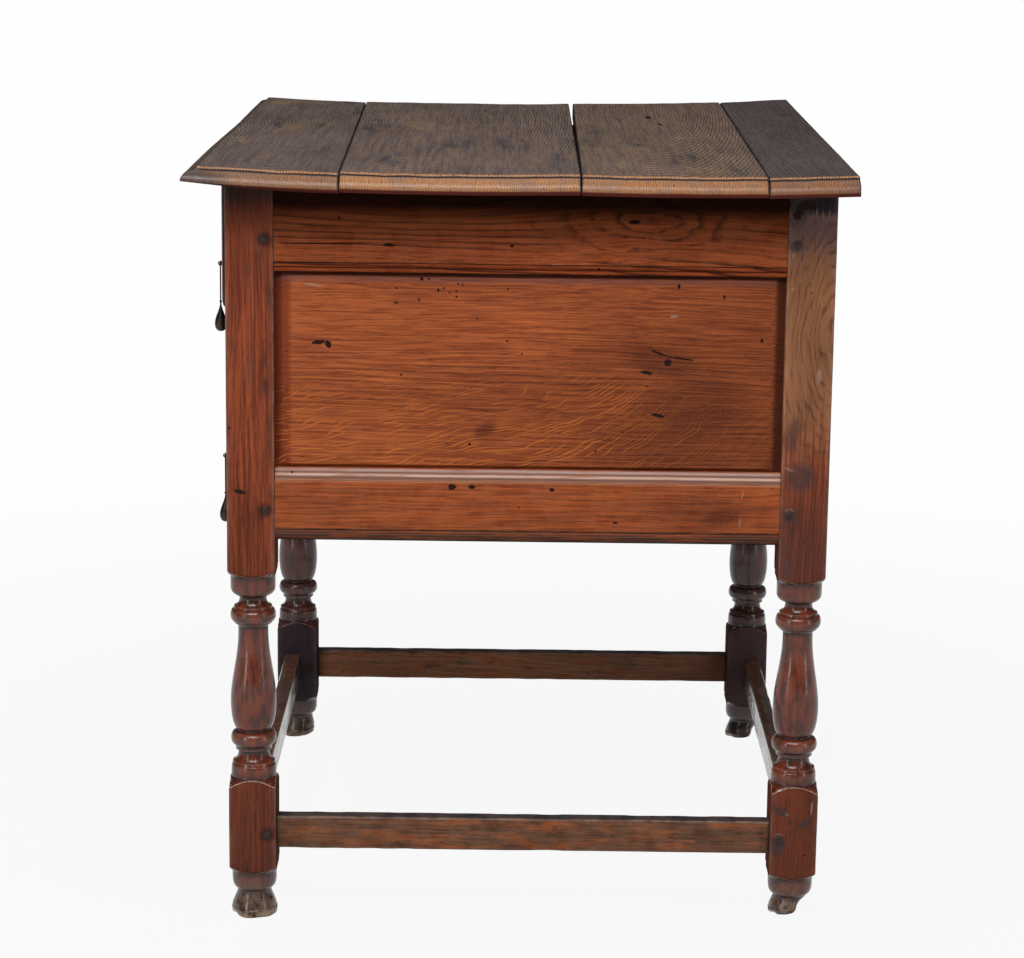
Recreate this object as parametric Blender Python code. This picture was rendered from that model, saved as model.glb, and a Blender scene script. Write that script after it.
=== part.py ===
"""Joined oak side table of the late seventeenth century: turned legs, panelled ends and two drawers.

Metres, +Z up. The floor is Z = 0 and the middle of the top lies over the origin. The drawers open towards -Y,
the table's length runs along X, and "right" is the +X end.
"""
from math import asin, cos, pi, radians, sin, sqrt

import bmesh
import bpy
from mathutils import Matrix, Vector

# Overall sizes
TABLE_HEIGHT = 0.733          # floor to the face of the second and third board
TOP_LENGTH = 0.785
TOP_DEPTH = 0.609
TOP_THICKNESS = 0.018
END_OVERHANG = 0.0693         # leg face to the outermost line of the top
FRONT_OVERHANG = 0.0289
BACK_OVERHANG = 0.0127
FIT = 0.0003                  # clearance between pieces that touch

# Boards of the top, front to back; the second takes the width that is left
FRONT_BOARD_WIDTH = 0.1318
FRONT_BOARD_TAPER = 0.0131    # how much wider the board is at its right end
THIRD_BOARD_WIDTH = 0.1704
THIRD_BOARD_TAPER = -0.0018
BACK_BOARD_WIDTH = 0.0797
BACK_BOARD_TAPER = 0.0055
JOINT_GAP = 0.0012
OPEN_JOINT_GAP = 0.0046       # middle joint, at its left end
EDGE_LIFT = 0.003             # rise of the cupped front and back edge
NOSING_STEP = 0.003           # small step down from the top's face
NOSING_WIDTH = 0.0125
NOSING_DROP = 0.0105          # height of the thumbnail below its step
NOSING_UNDERCUT = 0.002

# Legs, from the floor up; the case takes the height that is left
LEG_SQUARE = 0.0452
FOOT_HEIGHT = 0.0264
DRUM_HEIGHT = 0.0199
STRETCHER_BLOCK_HEIGHT = 0.0933
TURNING_HEIGHT = 0.2013
SHOULDER_RISE = 0.0075        # how far a block's corners are turned away
TOE_HEIGHT = 0.008
DRUM_ROUND = 0.0105           # rounded lower part of the drum above the foot
COLLAR_HEIGHT = 0.0136
FILLET_HEIGHT = 0.0026
COVE_HEIGHT = 0.0104
SEAT_HEIGHT = 0.006           # ring between the cove and the lower bead
BEAD_HEIGHT = 0.0128
BELLY_RISE = 0.027            # lower end of the vase to its widest place
UPPER_NECK_HEIGHT = 0.009
UPPER_COVE_HEIGHT = 0.008
UPPER_COLLAR_HEIGHT = 0.0205
LEG_SIDES = 18

# Depths of the turning, measured in from the square's faces
TOE_CUT = 0.0016
TOE_BULGE = 0.0012
ANKLE_CUT = 0.0062
DRUM_CUT = 0.001
DRUM_FOOT_CUT = 0.0052
SEAT_CUT = 0.0052
FILLET_CUT = 0.0024
COVE_CUT = 0.0081
BEAD_EDGE_CUT = 0.0043
BEAD_BULGE = 0.0036
VASE_FOOT_CUT = 0.0071
VASE_BELLY_CUT = 0.0006
VASE_NECK_CUT = 0.0082
UPPER_COVE_CUT = 0.0097

# Rails and panels of the ends and the back
END_RAIL_RISE = 0.0393        # lower end of the case block to the bottom rails
TOP_RAIL_HEIGHT = 0.081
BOTTOM_RAIL_HEIGHT = 0.0678
RAIL_THICKNESS = 0.022
RAIL_SETBACK = 0.001
REED_HEIGHT = 0.0048          # one of the two reeds under the top rail
REED_DEPTH = 0.002
EDGE_BEAD_HEIGHT = 0.009      # bead under the bottom rail
CHAMFER_HEIGHT = 0.012        # moulded slope on the bottom rail's upper edge
CHAMFER_DEPTH = 0.007
QUIRK_DEPTH = 0.0018
PANEL_TONGUE = 0.0054
PANEL_RAISE = 0.004           # field in front of the tongue
PANEL_SIDE_BEVEL = 0.014
PANEL_END_BEVEL = 0.003
GROOVE_DEPTH = 0.008

# Joints
TENON_THICKNESS = 0.008
TENON_LENGTH = 0.020
TENON_CHEEK = 0.008           # face of a rail to its tenon
TENON_EDGE = 0.011            # edge of an end or back rail to its tenon
NARROW_TENON_EDGE = 0.005     # the same on front rails and stretchers
PEG_DIAMETER = 0.0085
PEG_LENGTH = 0.030
PEG_PROUD = 0.0006
PEG_INSET = 0.0085            # inner edge of a leg to the middle of a peg
TOP_PEG_DROP = 0.0503         # upper end of the legs to the top rail's pegs
BOTTOM_PEG_RISE = 0.0271      # lower edge of the bottom rail to its pegs
PEG_SIDES = 10

# Stretchers
STRETCHER_HEIGHT = 0.0325
STRETCHER_THICKNESS = 0.017
STRETCHER_SETBACK = 0.009
STRETCHER_RISE = 0.040        # lower end of the stretcher block to the stretcher's middle

# Front frame and runners
FRONT_RAIL_RISE = 0.0081      # lower end of the case block to the front's bottom rail
FRONT_RAIL_HEIGHT = 0.030
DIVIDER_HEIGHT = 0.034        # tall enough for the upper drops to hang clear of the lower drawer
RUNNER_WIDTH = 0.020
RUNNER_HEIGHT = 0.010

# Drawers
UPPER_DRAWER_HEIGHT = 0.1215
UPPER_DRAWER_AJAR = 0.008     # the upper drawer stands a little open
DRAWER_SIDE_GAP = 0.0008
DRAWER_TOP_GAP = 0.0012
DRAWER_BACK_GAP = 0.004
DRAWER_FRONT_THICKNESS = 0.024
DRAWER_SIDE_THICKNESS = 0.014
DRAWER_BACK_THICKNESS = 0.012
DRAWER_BOTTOM_THICKNESS = 0.009
DRAWER_SIDE_DROP = 0.008      # upper edge of the front to that of the sides
DRAWER_BOTTOM_RAISE = 0.0005
FRONT_REBATE = 0.012          # how far the sides reach into the front
BOTTOM_REBATE = 0.007         # how far the bottom reaches into front and sides
FRONT_ROUND_WIDTH = 0.014     # worked edge round a drawer front
FRONT_ROUND_DEPTH = 0.006
FRONT_ROUND_STEPS = 4

# Drops and the staples that they hang on
DROP_INSET = 0.064            # end of a drawer to the middle of a drop
UPPER_DROP_RISE = 0.034       # lower edge of a drawer to the eye
LOWER_DROP_RISE = 0.058
STAPLE_WIRE = 0.0024
STAPLE_SPREAD = 0.009
STAPLE_BEND = 0.0022
UPPER_STAPLE_REACH = 0.0066   # drawer face to the eye's wire
LOWER_STAPLE_REACH = 0.0112
STAPLE_CLINCH = 0.008
STAPLE_BEND_STEPS = 3
DROP_LENGTH = 0.066           # eye to the drop's lower end
DROP_HEAD = 0.0056
DROP_HEAD_STEPS = 8           # from pole to pole of the round head
DROP_NECK = 0.003
DROP_NECK_START = 0.0042      # eye to the top of the neck
DROP_FLARE = 0.026            # lower end to where the neck starts to widen
DROP_BULB = 0.0118
DROP_BULB_HEIGHT = 0.013
DROP_TIP = 0.0032
DROP_SIDES = 10

# Levels and planes that follow from these sizes
CASE_TOP = TABLE_HEIGHT - TOP_THICKNESS
LEG_TOP = CASE_TOP - FIT
BLOCK_BOTTOM = FOOT_HEIGHT + DRUM_HEIGHT
BLOCK_TOP = BLOCK_BOTTOM + STRETCHER_BLOCK_HEIGHT
CASE_BLOCK_BOTTOM = BLOCK_TOP + TURNING_HEIGHT
BOTTOM_RAIL_BOTTOM = CASE_BLOCK_BOTTOM + END_RAIL_RISE
BOTTOM_RAIL_TOP = BOTTOM_RAIL_BOTTOM + BOTTOM_RAIL_HEIGHT
TOP_RAIL_BOTTOM = LEG_TOP - TOP_RAIL_HEIGHT
STRETCHER_MIDDLE = BLOCK_BOTTOM + STRETCHER_RISE
FRONT_RAIL_BOTTOM = CASE_BLOCK_BOTTOM + FRONT_RAIL_RISE
FRONT_RAIL_TOP = FRONT_RAIL_BOTTOM + FRONT_RAIL_HEIGHT
DIVIDER_TOP = CASE_TOP - DRAWER_TOP_GAP - UPPER_DRAWER_HEIGHT - FIT
DIVIDER_BOTTOM = DIVIDER_TOP - DIVIDER_HEIGHT
LOWER_DRAWER_HEIGHT = DIVIDER_BOTTOM - DRAWER_TOP_GAP - FRONT_RAIL_TOP - FIT
FRONT_FACE = FRONT_OVERHANG - TOP_DEPTH / 2
BACK_FACE = TOP_DEPTH / 2 - BACK_OVERHANG
END_FACE = TOP_LENGTH / 2 - END_OVERHANG
MIDDLE_Y = (FRONT_FACE + BACK_FACE) / 2
END_SPAN = BACK_FACE - FRONT_FACE - 2 * LEG_SQUARE
LONG_SPAN = 2 * END_FACE - 2 * LEG_SQUARE
TENON_OUTER = -RAIL_SETBACK - TENON_CHEEK
TENON_INNER = TENON_OUTER - TENON_THICKNESS
RAIL_OUTER = -RAIL_SETBACK
RAIL_INNER = RAIL_OUTER - RAIL_THICKNESS
PANEL_MIDDLE = (TENON_OUTER + TENON_INNER) / 2
DRAWER_WIDTH = LONG_SPAN - 2 * DRAWER_SIDE_GAP
DRAWER_REAR = BACK_FACE + RAIL_INNER - DRAWER_BACK_GAP

# Colours, roughness and metallic value of the pieces
FINISHES = {
    "case_oak": ((0.17, 0.050, 0.018), 0.42, 0.0),
    "leg_oak": ((0.11, 0.035, 0.016), 0.33, 0.0),
    "top_oak": ((0.085, 0.050, 0.028), 0.45, 0.0),
    "inner_oak": ((0.24, 0.145, 0.075), 0.70, 0.0),
    "peg_oak": ((0.045, 0.022, 0.014), 0.50, 0.0),
    "drop_brass": ((0.085, 0.070, 0.050), 0.48, 1.0),
}


def clear_scene():
    """Remove every object, so that a run starts from an empty scene."""
    for old in list(bpy.data.objects):
        bpy.data.objects.remove(old, do_unlink=True)


def make_materials():
    """One principled material for each finish."""
    made = {}
    for name, (colour, roughness, metallic) in FINISHES.items():
        material = bpy.data.materials.new(name)
        material.use_nodes = True
        shader = material.node_tree.nodes["Principled BSDF"]
        shader.inputs["Base Color"].default_value = (*colour, 1.0)
        shader.inputs["Roughness"].default_value = roughness
        shader.inputs["Metallic"].default_value = metallic
        made[name] = material
    return made


class Side:
    """One side of the frame: u runs outward from the leg faces, v along the side and z up."""

    def __init__(self, place, angle, span):
        self.place = place
        self.angle = angle
        self.span = span
        self.matrix = Matrix.Translation(place) @ Matrix.Rotation(angle, 4, "Z")


RIGHT_END = Side((END_FACE, MIDDLE_Y, 0), 0.0, END_SPAN)
LEFT_END = Side((-END_FACE, MIDDLE_Y, 0), pi, END_SPAN)
BACK = Side((0, BACK_FACE, 0), pi / 2, LONG_SPAN)
FRONT = Side((0, FRONT_FACE, 0), -pi / 2, LONG_SPAN)


def add_object(name, shape, material, place=(0, 0, 0), turn=(0, 0, 0), smooth=False):
    """Turn a bmesh into a named object with one material."""
    bmesh.ops.recalc_face_normals(shape, faces=shape.faces)
    mesh = bpy.data.meshes.new(name)
    shape.to_mesh(mesh)
    shape.free()
    if smooth:
        mesh.shade_smooth()
        mesh.set_sharp_from_angle(angle=radians(35))
    piece = bpy.data.objects.new(name, mesh)
    piece.location = place
    piece.rotation_euler = turn
    bpy.context.collection.objects.link(piece)
    if material:
        mesh.materials.append(material)
    return piece


def add_tool(name, shape, place=(0, 0, 0), turn=(0, 0, 0)):
    """A cutter or an added block for a Boolean, kept out of the model."""
    tool = add_object(name, shape, None, place, turn)
    tool.hide_render = True
    tool.display_type = "WIRE"
    return tool


def combine(piece, tool, operation):
    """Boolean modifier with the exact solver."""
    step = piece.modifiers.new(tool.name, "BOOLEAN")
    step.operation = operation
    step.solver = "EXACT"
    step.object = tool


def add_box(shape, low, high, matrix=Matrix.Identity(4)):
    """Box between two corners, placed by a matrix."""
    low, high = Vector(low), Vector(high)
    size = Matrix.Diagonal((*(high - low), 1.0))
    bmesh.ops.create_cube(shape, size=1.0, matrix=matrix @ Matrix.Translation((low + high) / 2) @ size)


def box(low, high):
    """A new bmesh holding one box."""
    shape = bmesh.new()
    add_box(shape, low, high)
    return shape


def prism(outline, length):
    """Outline of (u, z) points drawn out along v, centred on v = 0."""
    shape = bmesh.new()
    face = shape.faces.new([shape.verts.new((u, -length / 2, z)) for u, z in outline])
    drawn = bmesh.ops.extrude_face_region(shape, geom=[face])["geom"]
    moved = [item for item in drawn if isinstance(item, bmesh.types.BMVert)]
    bmesh.ops.translate(shape, verts=moved, vec=(0, length, 0))
    return shape


def add_rod(shape, diameter, length, sides, matrix):
    """Closed round rod along the matrix's own Z, starting at its origin."""
    half = Matrix.Translation((0, 0, length / 2))
    bmesh.ops.create_cone(shape, cap_ends=True, segments=sides, radius1=diameter / 2, radius2=diameter / 2,
                          depth=length, matrix=matrix @ half)


class Turning:
    """Half section of a turned piece, drawn along its axis as (radius, height) points."""

    def __init__(self, radius, height):
        self.points = [(radius, height)]

    def line(self, radius, height):
        self.points.append((radius, height))

    def swell(self, radius, height, bulge, steps=4):
        """Half ellipse that bulges out between two places."""
        r0, h0 = self.points[-1]
        for k in range(1, steps + 1):
            t = k / steps
            along = (1 - cos(pi * t)) / 2
            self.line(r0 + (radius - r0) * along + bulge * sin(pi * t), h0 + (height - h0) * along)

    def quarter(self, radius, height, level_first, steps=3):
        """Quarter ellipse that starts level, across the axis, or upright, along it."""
        r0, h0 = self.points[-1]
        for k in range(1, steps + 1):
            a = pi / 2 * k / steps
            early, late = sin(a), 1 - cos(a)
            across, along = (early, late) if level_first else (late, early)
            self.line(r0 + (radius - r0) * across, h0 + (height - h0) * along)

    def ease(self, radius, height, steps=5):
        """Smooth S-curve between two radii."""
        r0, h0 = self.points[-1]
        for k in range(1, steps + 1):
            t = k / steps
            self.line(r0 + (radius - r0) * t * t * (3 - 2 * t), h0 + (height - h0) * t)

    def revolve(self, sides):
        """Closed solid of revolution about Z."""
        shape = bmesh.new()
        ends = [(0.0, self.points[0][1])], [(0.0, self.points[-1][1])]
        verts = [shape.verts.new((r, 0, h)) for r, h in ends[0] + self.points + ends[1]]
        edges = [shape.edges.new(pair) for pair in zip(verts, verts[1:])]
        bmesh.ops.spin(shape, geom=verts + edges, cent=(0, 0, 0), axis=(0, 0, 1), angle=2 * pi, steps=sides,
                       use_merge=True)
        bmesh.ops.remove_doubles(shape, verts=shape.verts, dist=1e-6)
        return shape


def leg_section():
    """Half section of a leg; blocks are drawn wider than the square, which cuts them afterwards."""
    half = LEG_SQUARE / 2
    wide = half * sqrt(2) + DRUM_CUT
    drum = half - DRUM_CUT
    leg = Turning(half - TOE_CUT, 0.0)
    leg.swell(half - TOE_CUT, TOE_HEIGHT, TOE_BULGE, steps=3)
    leg.ease(half - ANKLE_CUT, FOOT_HEIGHT - FILLET_HEIGHT / 2, steps=3)
    leg.line(half - ANKLE_CUT, FOOT_HEIGHT)
    leg.line(half - DRUM_FOOT_CUT, FOOT_HEIGHT + FILLET_HEIGHT / 2)
    leg.quarter(drum, FOOT_HEIGHT + DRUM_ROUND, level_first=True)
    leg.line(drum, BLOCK_BOTTOM - DRUM_CUT)
    leg.line(wide, BLOCK_BOTTOM + SHOULDER_RISE)
    leg.line(wide, BLOCK_TOP - SHOULDER_RISE)
    leg.line(drum, BLOCK_TOP + DRUM_CUT)

    collar_top = BLOCK_TOP + COLLAR_HEIGHT
    leg.line(drum, collar_top - 2 * FILLET_HEIGHT)
    leg.quarter(half - FILLET_CUT, collar_top, level_first=False, steps=2)
    leg.line(half - FILLET_CUT, collar_top + FILLET_HEIGHT)
    cove_top = collar_top + FILLET_HEIGHT + COVE_HEIGHT
    leg.quarter(half - COVE_CUT, cove_top, level_first=True)
    bead_bottom = cove_top + SEAT_HEIGHT
    leg.line(half - SEAT_CUT, cove_top + FILLET_HEIGHT / 2)
    leg.line(half - SEAT_CUT, bead_bottom - FILLET_HEIGHT / 2)
    leg.line(half - BEAD_EDGE_CUT, bead_bottom)
    leg.swell(half - BEAD_EDGE_CUT, bead_bottom + BEAD_HEIGHT, BEAD_BULGE)
    vase_bottom = bead_bottom + BEAD_HEIGHT + FILLET_HEIGHT
    leg.line(half - VASE_FOOT_CUT, vase_bottom - FILLET_HEIGHT / 2)
    leg.line(half - VASE_FOOT_CUT, vase_bottom)
    leg.quarter(half - VASE_BELLY_CUT, vase_bottom + BELLY_RISE, level_first=True, steps=4)

    upper_collar = CASE_BLOCK_BOTTOM - UPPER_COLLAR_HEIGHT
    upper_cove = upper_collar - FILLET_HEIGHT
    upper_bead = upper_cove - UPPER_COVE_HEIGHT - FILLET_HEIGHT
    vase_top = upper_bead - BEAD_HEIGHT - FILLET_HEIGHT
    leg.ease(half - VASE_NECK_CUT, vase_top - UPPER_NECK_HEIGHT)
    leg.line(half - VASE_NECK_CUT, vase_top - FILLET_HEIGHT / 2)
    leg.line(half - BEAD_EDGE_CUT, vase_top + FILLET_HEIGHT / 2)
    leg.line(half - BEAD_EDGE_CUT, upper_bead - BEAD_HEIGHT)
    leg.swell(half - BEAD_EDGE_CUT, upper_bead, BEAD_BULGE)
    leg.line(half - BEAD_EDGE_CUT, upper_bead + FILLET_HEIGHT)
    leg.quarter(half - UPPER_COVE_CUT, upper_cove, level_first=True)
    leg.line(half - UPPER_COVE_CUT, upper_cove + FILLET_HEIGHT / 2)
    leg.line(half - COVE_CUT, upper_collar)
    leg.quarter(drum, upper_collar + 3 * FILLET_HEIGHT, level_first=True)
    leg.line(drum, CASE_BLOCK_BOTTOM - DRUM_CUT)
    leg.line(wide, CASE_BLOCK_BOTTOM + SHOULDER_RISE)
    leg.line(wide, LEG_TOP)
    return leg


def make_legs(material, mortises, peg_holes):
    """Four legs: a turned billet, trimmed to its square blocks, with mortises, grooves and peg holes."""
    half = LEG_SQUARE / 2
    section = leg_section()
    for end, x in (("right", END_FACE - half), ("left", half - END_FACE)):
        for row, y in (("front", FRONT_FACE + half), ("back", BACK_FACE - half)):
            leg = add_object(f"leg_{row}_{end}", section.revolve(LEG_SIDES), material, (x, y, 0), smooth=True)
            billet = box((-half, -half, -half), (half, half, LEG_TOP + half))
            combine(leg, add_tool(f"billet_{row}_{end}", billet, (x, y, 0)), "INTERSECT")
            combine(leg, mortises, "DIFFERENCE")
            combine(leg, peg_holes, "DIFFERENCE")


class Frame:
    """Collects the mortises and peg holes that the members ask for."""

    def __init__(self):
        self.mortises = bmesh.new()
        self.holes = bmesh.new()
        self.pegged = []

    def cut_slot(self, side, u_range, z_range, reach):
        """Cut room for a bar that runs from leg to leg and reaches into both."""
        length = side.span / 2 + reach + FIT
        low = (u_range[0] - FIT, -length, z_range[0] - FIT)
        high = (u_range[1] + FIT, length, z_range[1] + FIT)
        add_box(self.mortises, low, high, side.matrix)

    def member(self, name, side, outline, tenon_u, tenon_z, material):
        """A rail or stretcher of any section between two legs, with a tenon at each end."""
        rail = add_object(name, prism(outline, side.span - 2 * FIT), material, side.place, (0, 0, side.angle))
        reach = side.span / 2 + TENON_LENGTH
        bar = box((tenon_u[0], -reach, tenon_z[0]), (tenon_u[1], reach, tenon_z[1]))
        combine(rail, add_tool(f"{name}_tenons", bar, side.place, (0, 0, side.angle)), "UNION")
        self.cut_slot(side, tenon_u, tenon_z, TENON_LENGTH)
        return rail

    def peg(self, name, side, v_sign, height, rail, material):
        """Draw-bore peg from a leg's outer face through the tenon behind it."""
        along = v_sign * (side.span / 2 + PEG_INSET)
        inward = Matrix.Rotation(-pi / 2, 4, "Y")
        seat = side.matrix @ Matrix.Translation((PEG_PROUD, along, height)) @ inward
        shape = bmesh.new()
        add_rod(shape, PEG_DIAMETER, PEG_LENGTH, PEG_SIDES, Matrix.Identity(4))
        peg = add_object(name, shape, material, seat.to_translation(), seat.to_euler(), smooth=True)
        add_rod(self.holes, PEG_DIAMETER + 2 * FIT, PEG_LENGTH + FIT, PEG_SIDES, seat)
        self.pegged.append(rail)
        return peg


def rectangle(u_range, z_range):
    """Outline of a plain section."""
    (u0, u1), (z0, z1) = u_range, z_range
    return [(u0, z0), (u1, z0), (u1, z1), (u0, z1)]


def bead_points(edge, depth, bottom, top, steps=4):
    """Half-round moulding on a face at u = edge, from its upper quirk down to its lower one."""
    points = []
    for k in range(steps + 1):
        a = pi * k / steps
        points.append((edge - depth + depth * sin(a), (top + bottom) / 2 + (top - bottom) / 2 * cos(a)))
    return points


def groove_points(edge_z, depth):
    """Panel groove in a rail's edge, from its inner to its outer side."""
    inner = PANEL_MIDDLE - PANEL_TONGUE / 2 - FIT
    outer = PANEL_MIDDLE + PANEL_TONGUE / 2 + FIT
    return [(inner, edge_z), (inner, edge_z + depth), (outer, edge_z + depth), (outer, edge_z)]


def end_top_rail_outline():
    """Top rail of an end: two reeds along the lower edge and a panel groove under it."""
    low = TOP_RAIL_BOTTOM
    reeds = low + 2 * REED_HEIGHT
    outline = [(RAIL_INNER, LEG_TOP), (RAIL_INNER, low)] + groove_points(low, GROOVE_DEPTH + FIT)
    outline += reversed(bead_points(RAIL_OUTER, REED_DEPTH, low, low + REED_HEIGHT))
    outline += reversed(bead_points(RAIL_OUTER, REED_DEPTH, low + REED_HEIGHT, reeds)[:-1])
    return outline + [(RAIL_OUTER, reeds), (RAIL_OUTER, LEG_TOP)]


def end_bottom_rail_outline():
    """Bottom rail of an end: a moulded slope above, a bead below and a panel groove on top."""
    low, high = BOTTOM_RAIL_BOTTOM, BOTTOM_RAIL_TOP
    slope = high - CHAMFER_HEIGHT
    outline = [(RAIL_INNER, low)]
    outline += reversed(bead_points(RAIL_OUTER, QUIRK_DEPTH, low, low + EDGE_BEAD_HEIGHT))
    outline += [(RAIL_OUTER, low + EDGE_BEAD_HEIGHT), (RAIL_OUTER, slope), (RAIL_OUTER - QUIRK_DEPTH, slope)]
    mould = Turning(RAIL_OUTER - QUIRK_DEPTH, slope)
    mould.quarter(RAIL_OUTER - CHAMFER_DEPTH, high, level_first=False)
    outline += mould.points[1:]
    outline += reversed(groove_points(high, -GROOVE_DEPTH - FIT))
    return outline + [(RAIL_INNER, high)]


def plain_rail_outline(low, high, groove_edge, groove_depth):
    """Plain back rail with a panel groove along one edge."""
    groove = groove_points(groove_edge, groove_depth)
    if groove_edge == low:
        return [(RAIL_INNER, high), (RAIL_INNER, low)] + groove + [(RAIL_OUTER, low), (RAIL_OUTER, high)]
    return [(RAIL_INNER, low), (RAIL_OUTER, low), (RAIL_OUTER, high)] + groove[::-1] + [(RAIL_INNER, high)]


def make_panel(name, side, frame, material):
    """Loose panel whose tongue sits in the grooves and whose field stands forward with bevelled margins."""
    reach = side.span / 2 + GROOVE_DEPTH - FIT
    z_range = BOTTOM_RAIL_TOP - GROOVE_DEPTH + FIT, TOP_RAIL_BOTTOM + GROOVE_DEPTH - FIT
    back = PANEL_MIDDLE - PANEL_TONGUE / 2
    front = PANEL_MIDDLE + PANEL_TONGUE / 2
    shape = box((back, -reach, z_range[0]), (front, reach, z_range[1]))
    middle = (z_range[0] + z_range[1]) / 2
    face = max(shape.faces, key=lambda item: item.calc_center_median().x)
    for side_inset, end_inset, raised in ((GROOVE_DEPTH, GROOVE_DEPTH, 0.0),
                                          (PANEL_SIDE_BEVEL, PANEL_END_BEVEL, PANEL_RAISE)):
        face = bmesh.ops.extrude_discrete_faces(shape, faces=[face])["faces"][0]
        for vert in face.verts:
            vert.co.x = front + raised
            vert.co.y -= side_inset if vert.co.y > 0 else -side_inset
            vert.co.z -= end_inset if vert.co.z > middle else -end_inset
    frame.cut_slot(side, (back, front), z_range, GROOVE_DEPTH - FIT)
    return add_object(name, shape, material, side.place, (0, 0, side.angle))


def make_panelled_side(name, side, frame, outlines, material):
    """Top rail, bottom rail and panel of one side; returns the two rails."""
    tenon_u = (TENON_INNER, TENON_OUTER)
    top_tenon = (TOP_RAIL_BOTTOM + TENON_EDGE, LEG_TOP - TENON_EDGE)
    bottom_tenon = (BOTTOM_RAIL_BOTTOM + TENON_EDGE, BOTTOM_RAIL_TOP - TENON_EDGE)
    top = frame.member(f"{name}_top_rail", side, outlines[0], tenon_u, top_tenon, material)
    bottom = frame.member(f"{name}_bottom_rail", side, outlines[1], tenon_u, bottom_tenon, material)
    make_panel(f"{name}_panel", side, frame, material)
    return top, bottom


def make_stretcher(name, side, frame, material):
    """Stretcher between two leg blocks."""
    u_range = (-STRETCHER_SETBACK - STRETCHER_THICKNESS, -STRETCHER_SETBACK)
    z_range = (STRETCHER_MIDDLE - STRETCHER_HEIGHT / 2, STRETCHER_MIDDLE + STRETCHER_HEIGHT / 2)
    middle = (u_range[0] + u_range[1]) / 2
    tenon_u = (middle - TENON_THICKNESS / 2, middle + TENON_THICKNESS / 2)
    tenon_z = (z_range[0] + NARROW_TENON_EDGE, z_range[1] - NARROW_TENON_EDGE)
    return frame.member(name, side, rectangle(u_range, z_range), tenon_u, tenon_z, material)


def make_front_rail(name, frame, z_range, material):
    """Plain rail across the front."""
    tenon_z = (z_range[0] + NARROW_TENON_EDGE, z_range[1] - NARROW_TENON_EDGE)
    outline = rectangle((RAIL_INNER, RAIL_OUTER), z_range)
    return frame.member(name, FRONT, outline, (TENON_INNER, TENON_OUTER), tenon_z, material)


def make_end_pegs(name, side, frame, rails, material):
    """Six pegs of one end, two in each of its three rails; rails are top, bottom and stretcher."""
    heights = (LEG_TOP - TOP_PEG_DROP, BOTTOM_RAIL_BOTTOM + BOTTOM_PEG_RISE, STRETCHER_MIDDLE)
    labels = ("top", "bottom", "stretcher")
    # v runs towards the back at the right end, and towards the front at the left end
    back_sign = 1 if side is RIGHT_END else -1
    for rail, height, label in zip(rails, heights, labels):
        frame.peg(f"peg_{name}_{label}_front", side, -back_sign, height, rail, material)
        frame.peg(f"peg_{name}_{label}_back", side, back_sign, height, rail, material)


def make_frame(materials):
    """Everything between and including the legs."""
    frame = Frame()
    case = materials["case_oak"]
    low = materials["leg_oak"]
    end_outlines = end_top_rail_outline(), end_bottom_rail_outline()
    cut = GROOVE_DEPTH + FIT
    back_outlines = (plain_rail_outline(TOP_RAIL_BOTTOM, LEG_TOP, TOP_RAIL_BOTTOM, cut),
                     plain_rail_outline(BOTTOM_RAIL_BOTTOM, BOTTOM_RAIL_TOP, BOTTOM_RAIL_TOP, -cut))
    make_panelled_side("back", BACK, frame, back_outlines, case)
    make_stretcher("back_stretcher", BACK, frame, low)
    make_stretcher("front_stretcher", FRONT, frame, low)
    make_front_rail("drawer_divider_rail", frame, (DIVIDER_BOTTOM, DIVIDER_TOP), case)
    make_front_rail("front_bottom_rail", frame, (FRONT_RAIL_BOTTOM, FRONT_RAIL_TOP), case)
    for name, side in (("right", RIGHT_END), ("left", LEFT_END)):
        top, bottom = make_panelled_side(f"{name}_end", side, frame, end_outlines, case)
        stretcher = make_stretcher(f"{name}_end_stretcher", side, frame, low)
        make_end_pegs(name, side, frame, (top, bottom, stretcher), materials["peg_oak"])
    mortises = add_tool("mortises", frame.mortises)
    holes = add_tool("peg_holes", frame.holes)
    make_legs(low, mortises, holes)
    for rail in dict.fromkeys(frame.pegged):
        combine(rail, holes, "DIFFERENCE")


def make_runners(material):
    """Two bearers under each drawer, fastened to the inner faces of the legs."""
    inner = END_FACE - LEG_SQUARE - FIT
    y_range = FRONT_FACE - RAIL_INNER + FIT, BACK_FACE + RAIL_INNER - FIT
    for drawer, top in (("upper", DIVIDER_TOP), ("lower", FRONT_RAIL_TOP)):
        for end, sign in (("right", 1), ("left", -1)):
            near, far = sorted((sign * inner, sign * (inner - RUNNER_WIDTH)))
            runner = box((near, y_range[0], top - RUNNER_HEIGHT), (far, y_range[1], top))
            add_object(f"{drawer}_runner_{end}", runner, material)


def nosing_section():
    """Thumbnail edge of the top, from its face down, as (distance in from the outermost line, height)."""
    nose = Turning(NOSING_WIDTH, TOP_THICKNESS)
    nose.line(NOSING_WIDTH, TOP_THICKNESS - NOSING_STEP)
    nose.quarter(0.0, TOP_THICKNESS - NOSING_STEP - NOSING_DROP, level_first=True, steps=5)
    nose.quarter(NOSING_UNDERCUT, 0.0, level_first=False, steps=2)
    return nose.points


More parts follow.
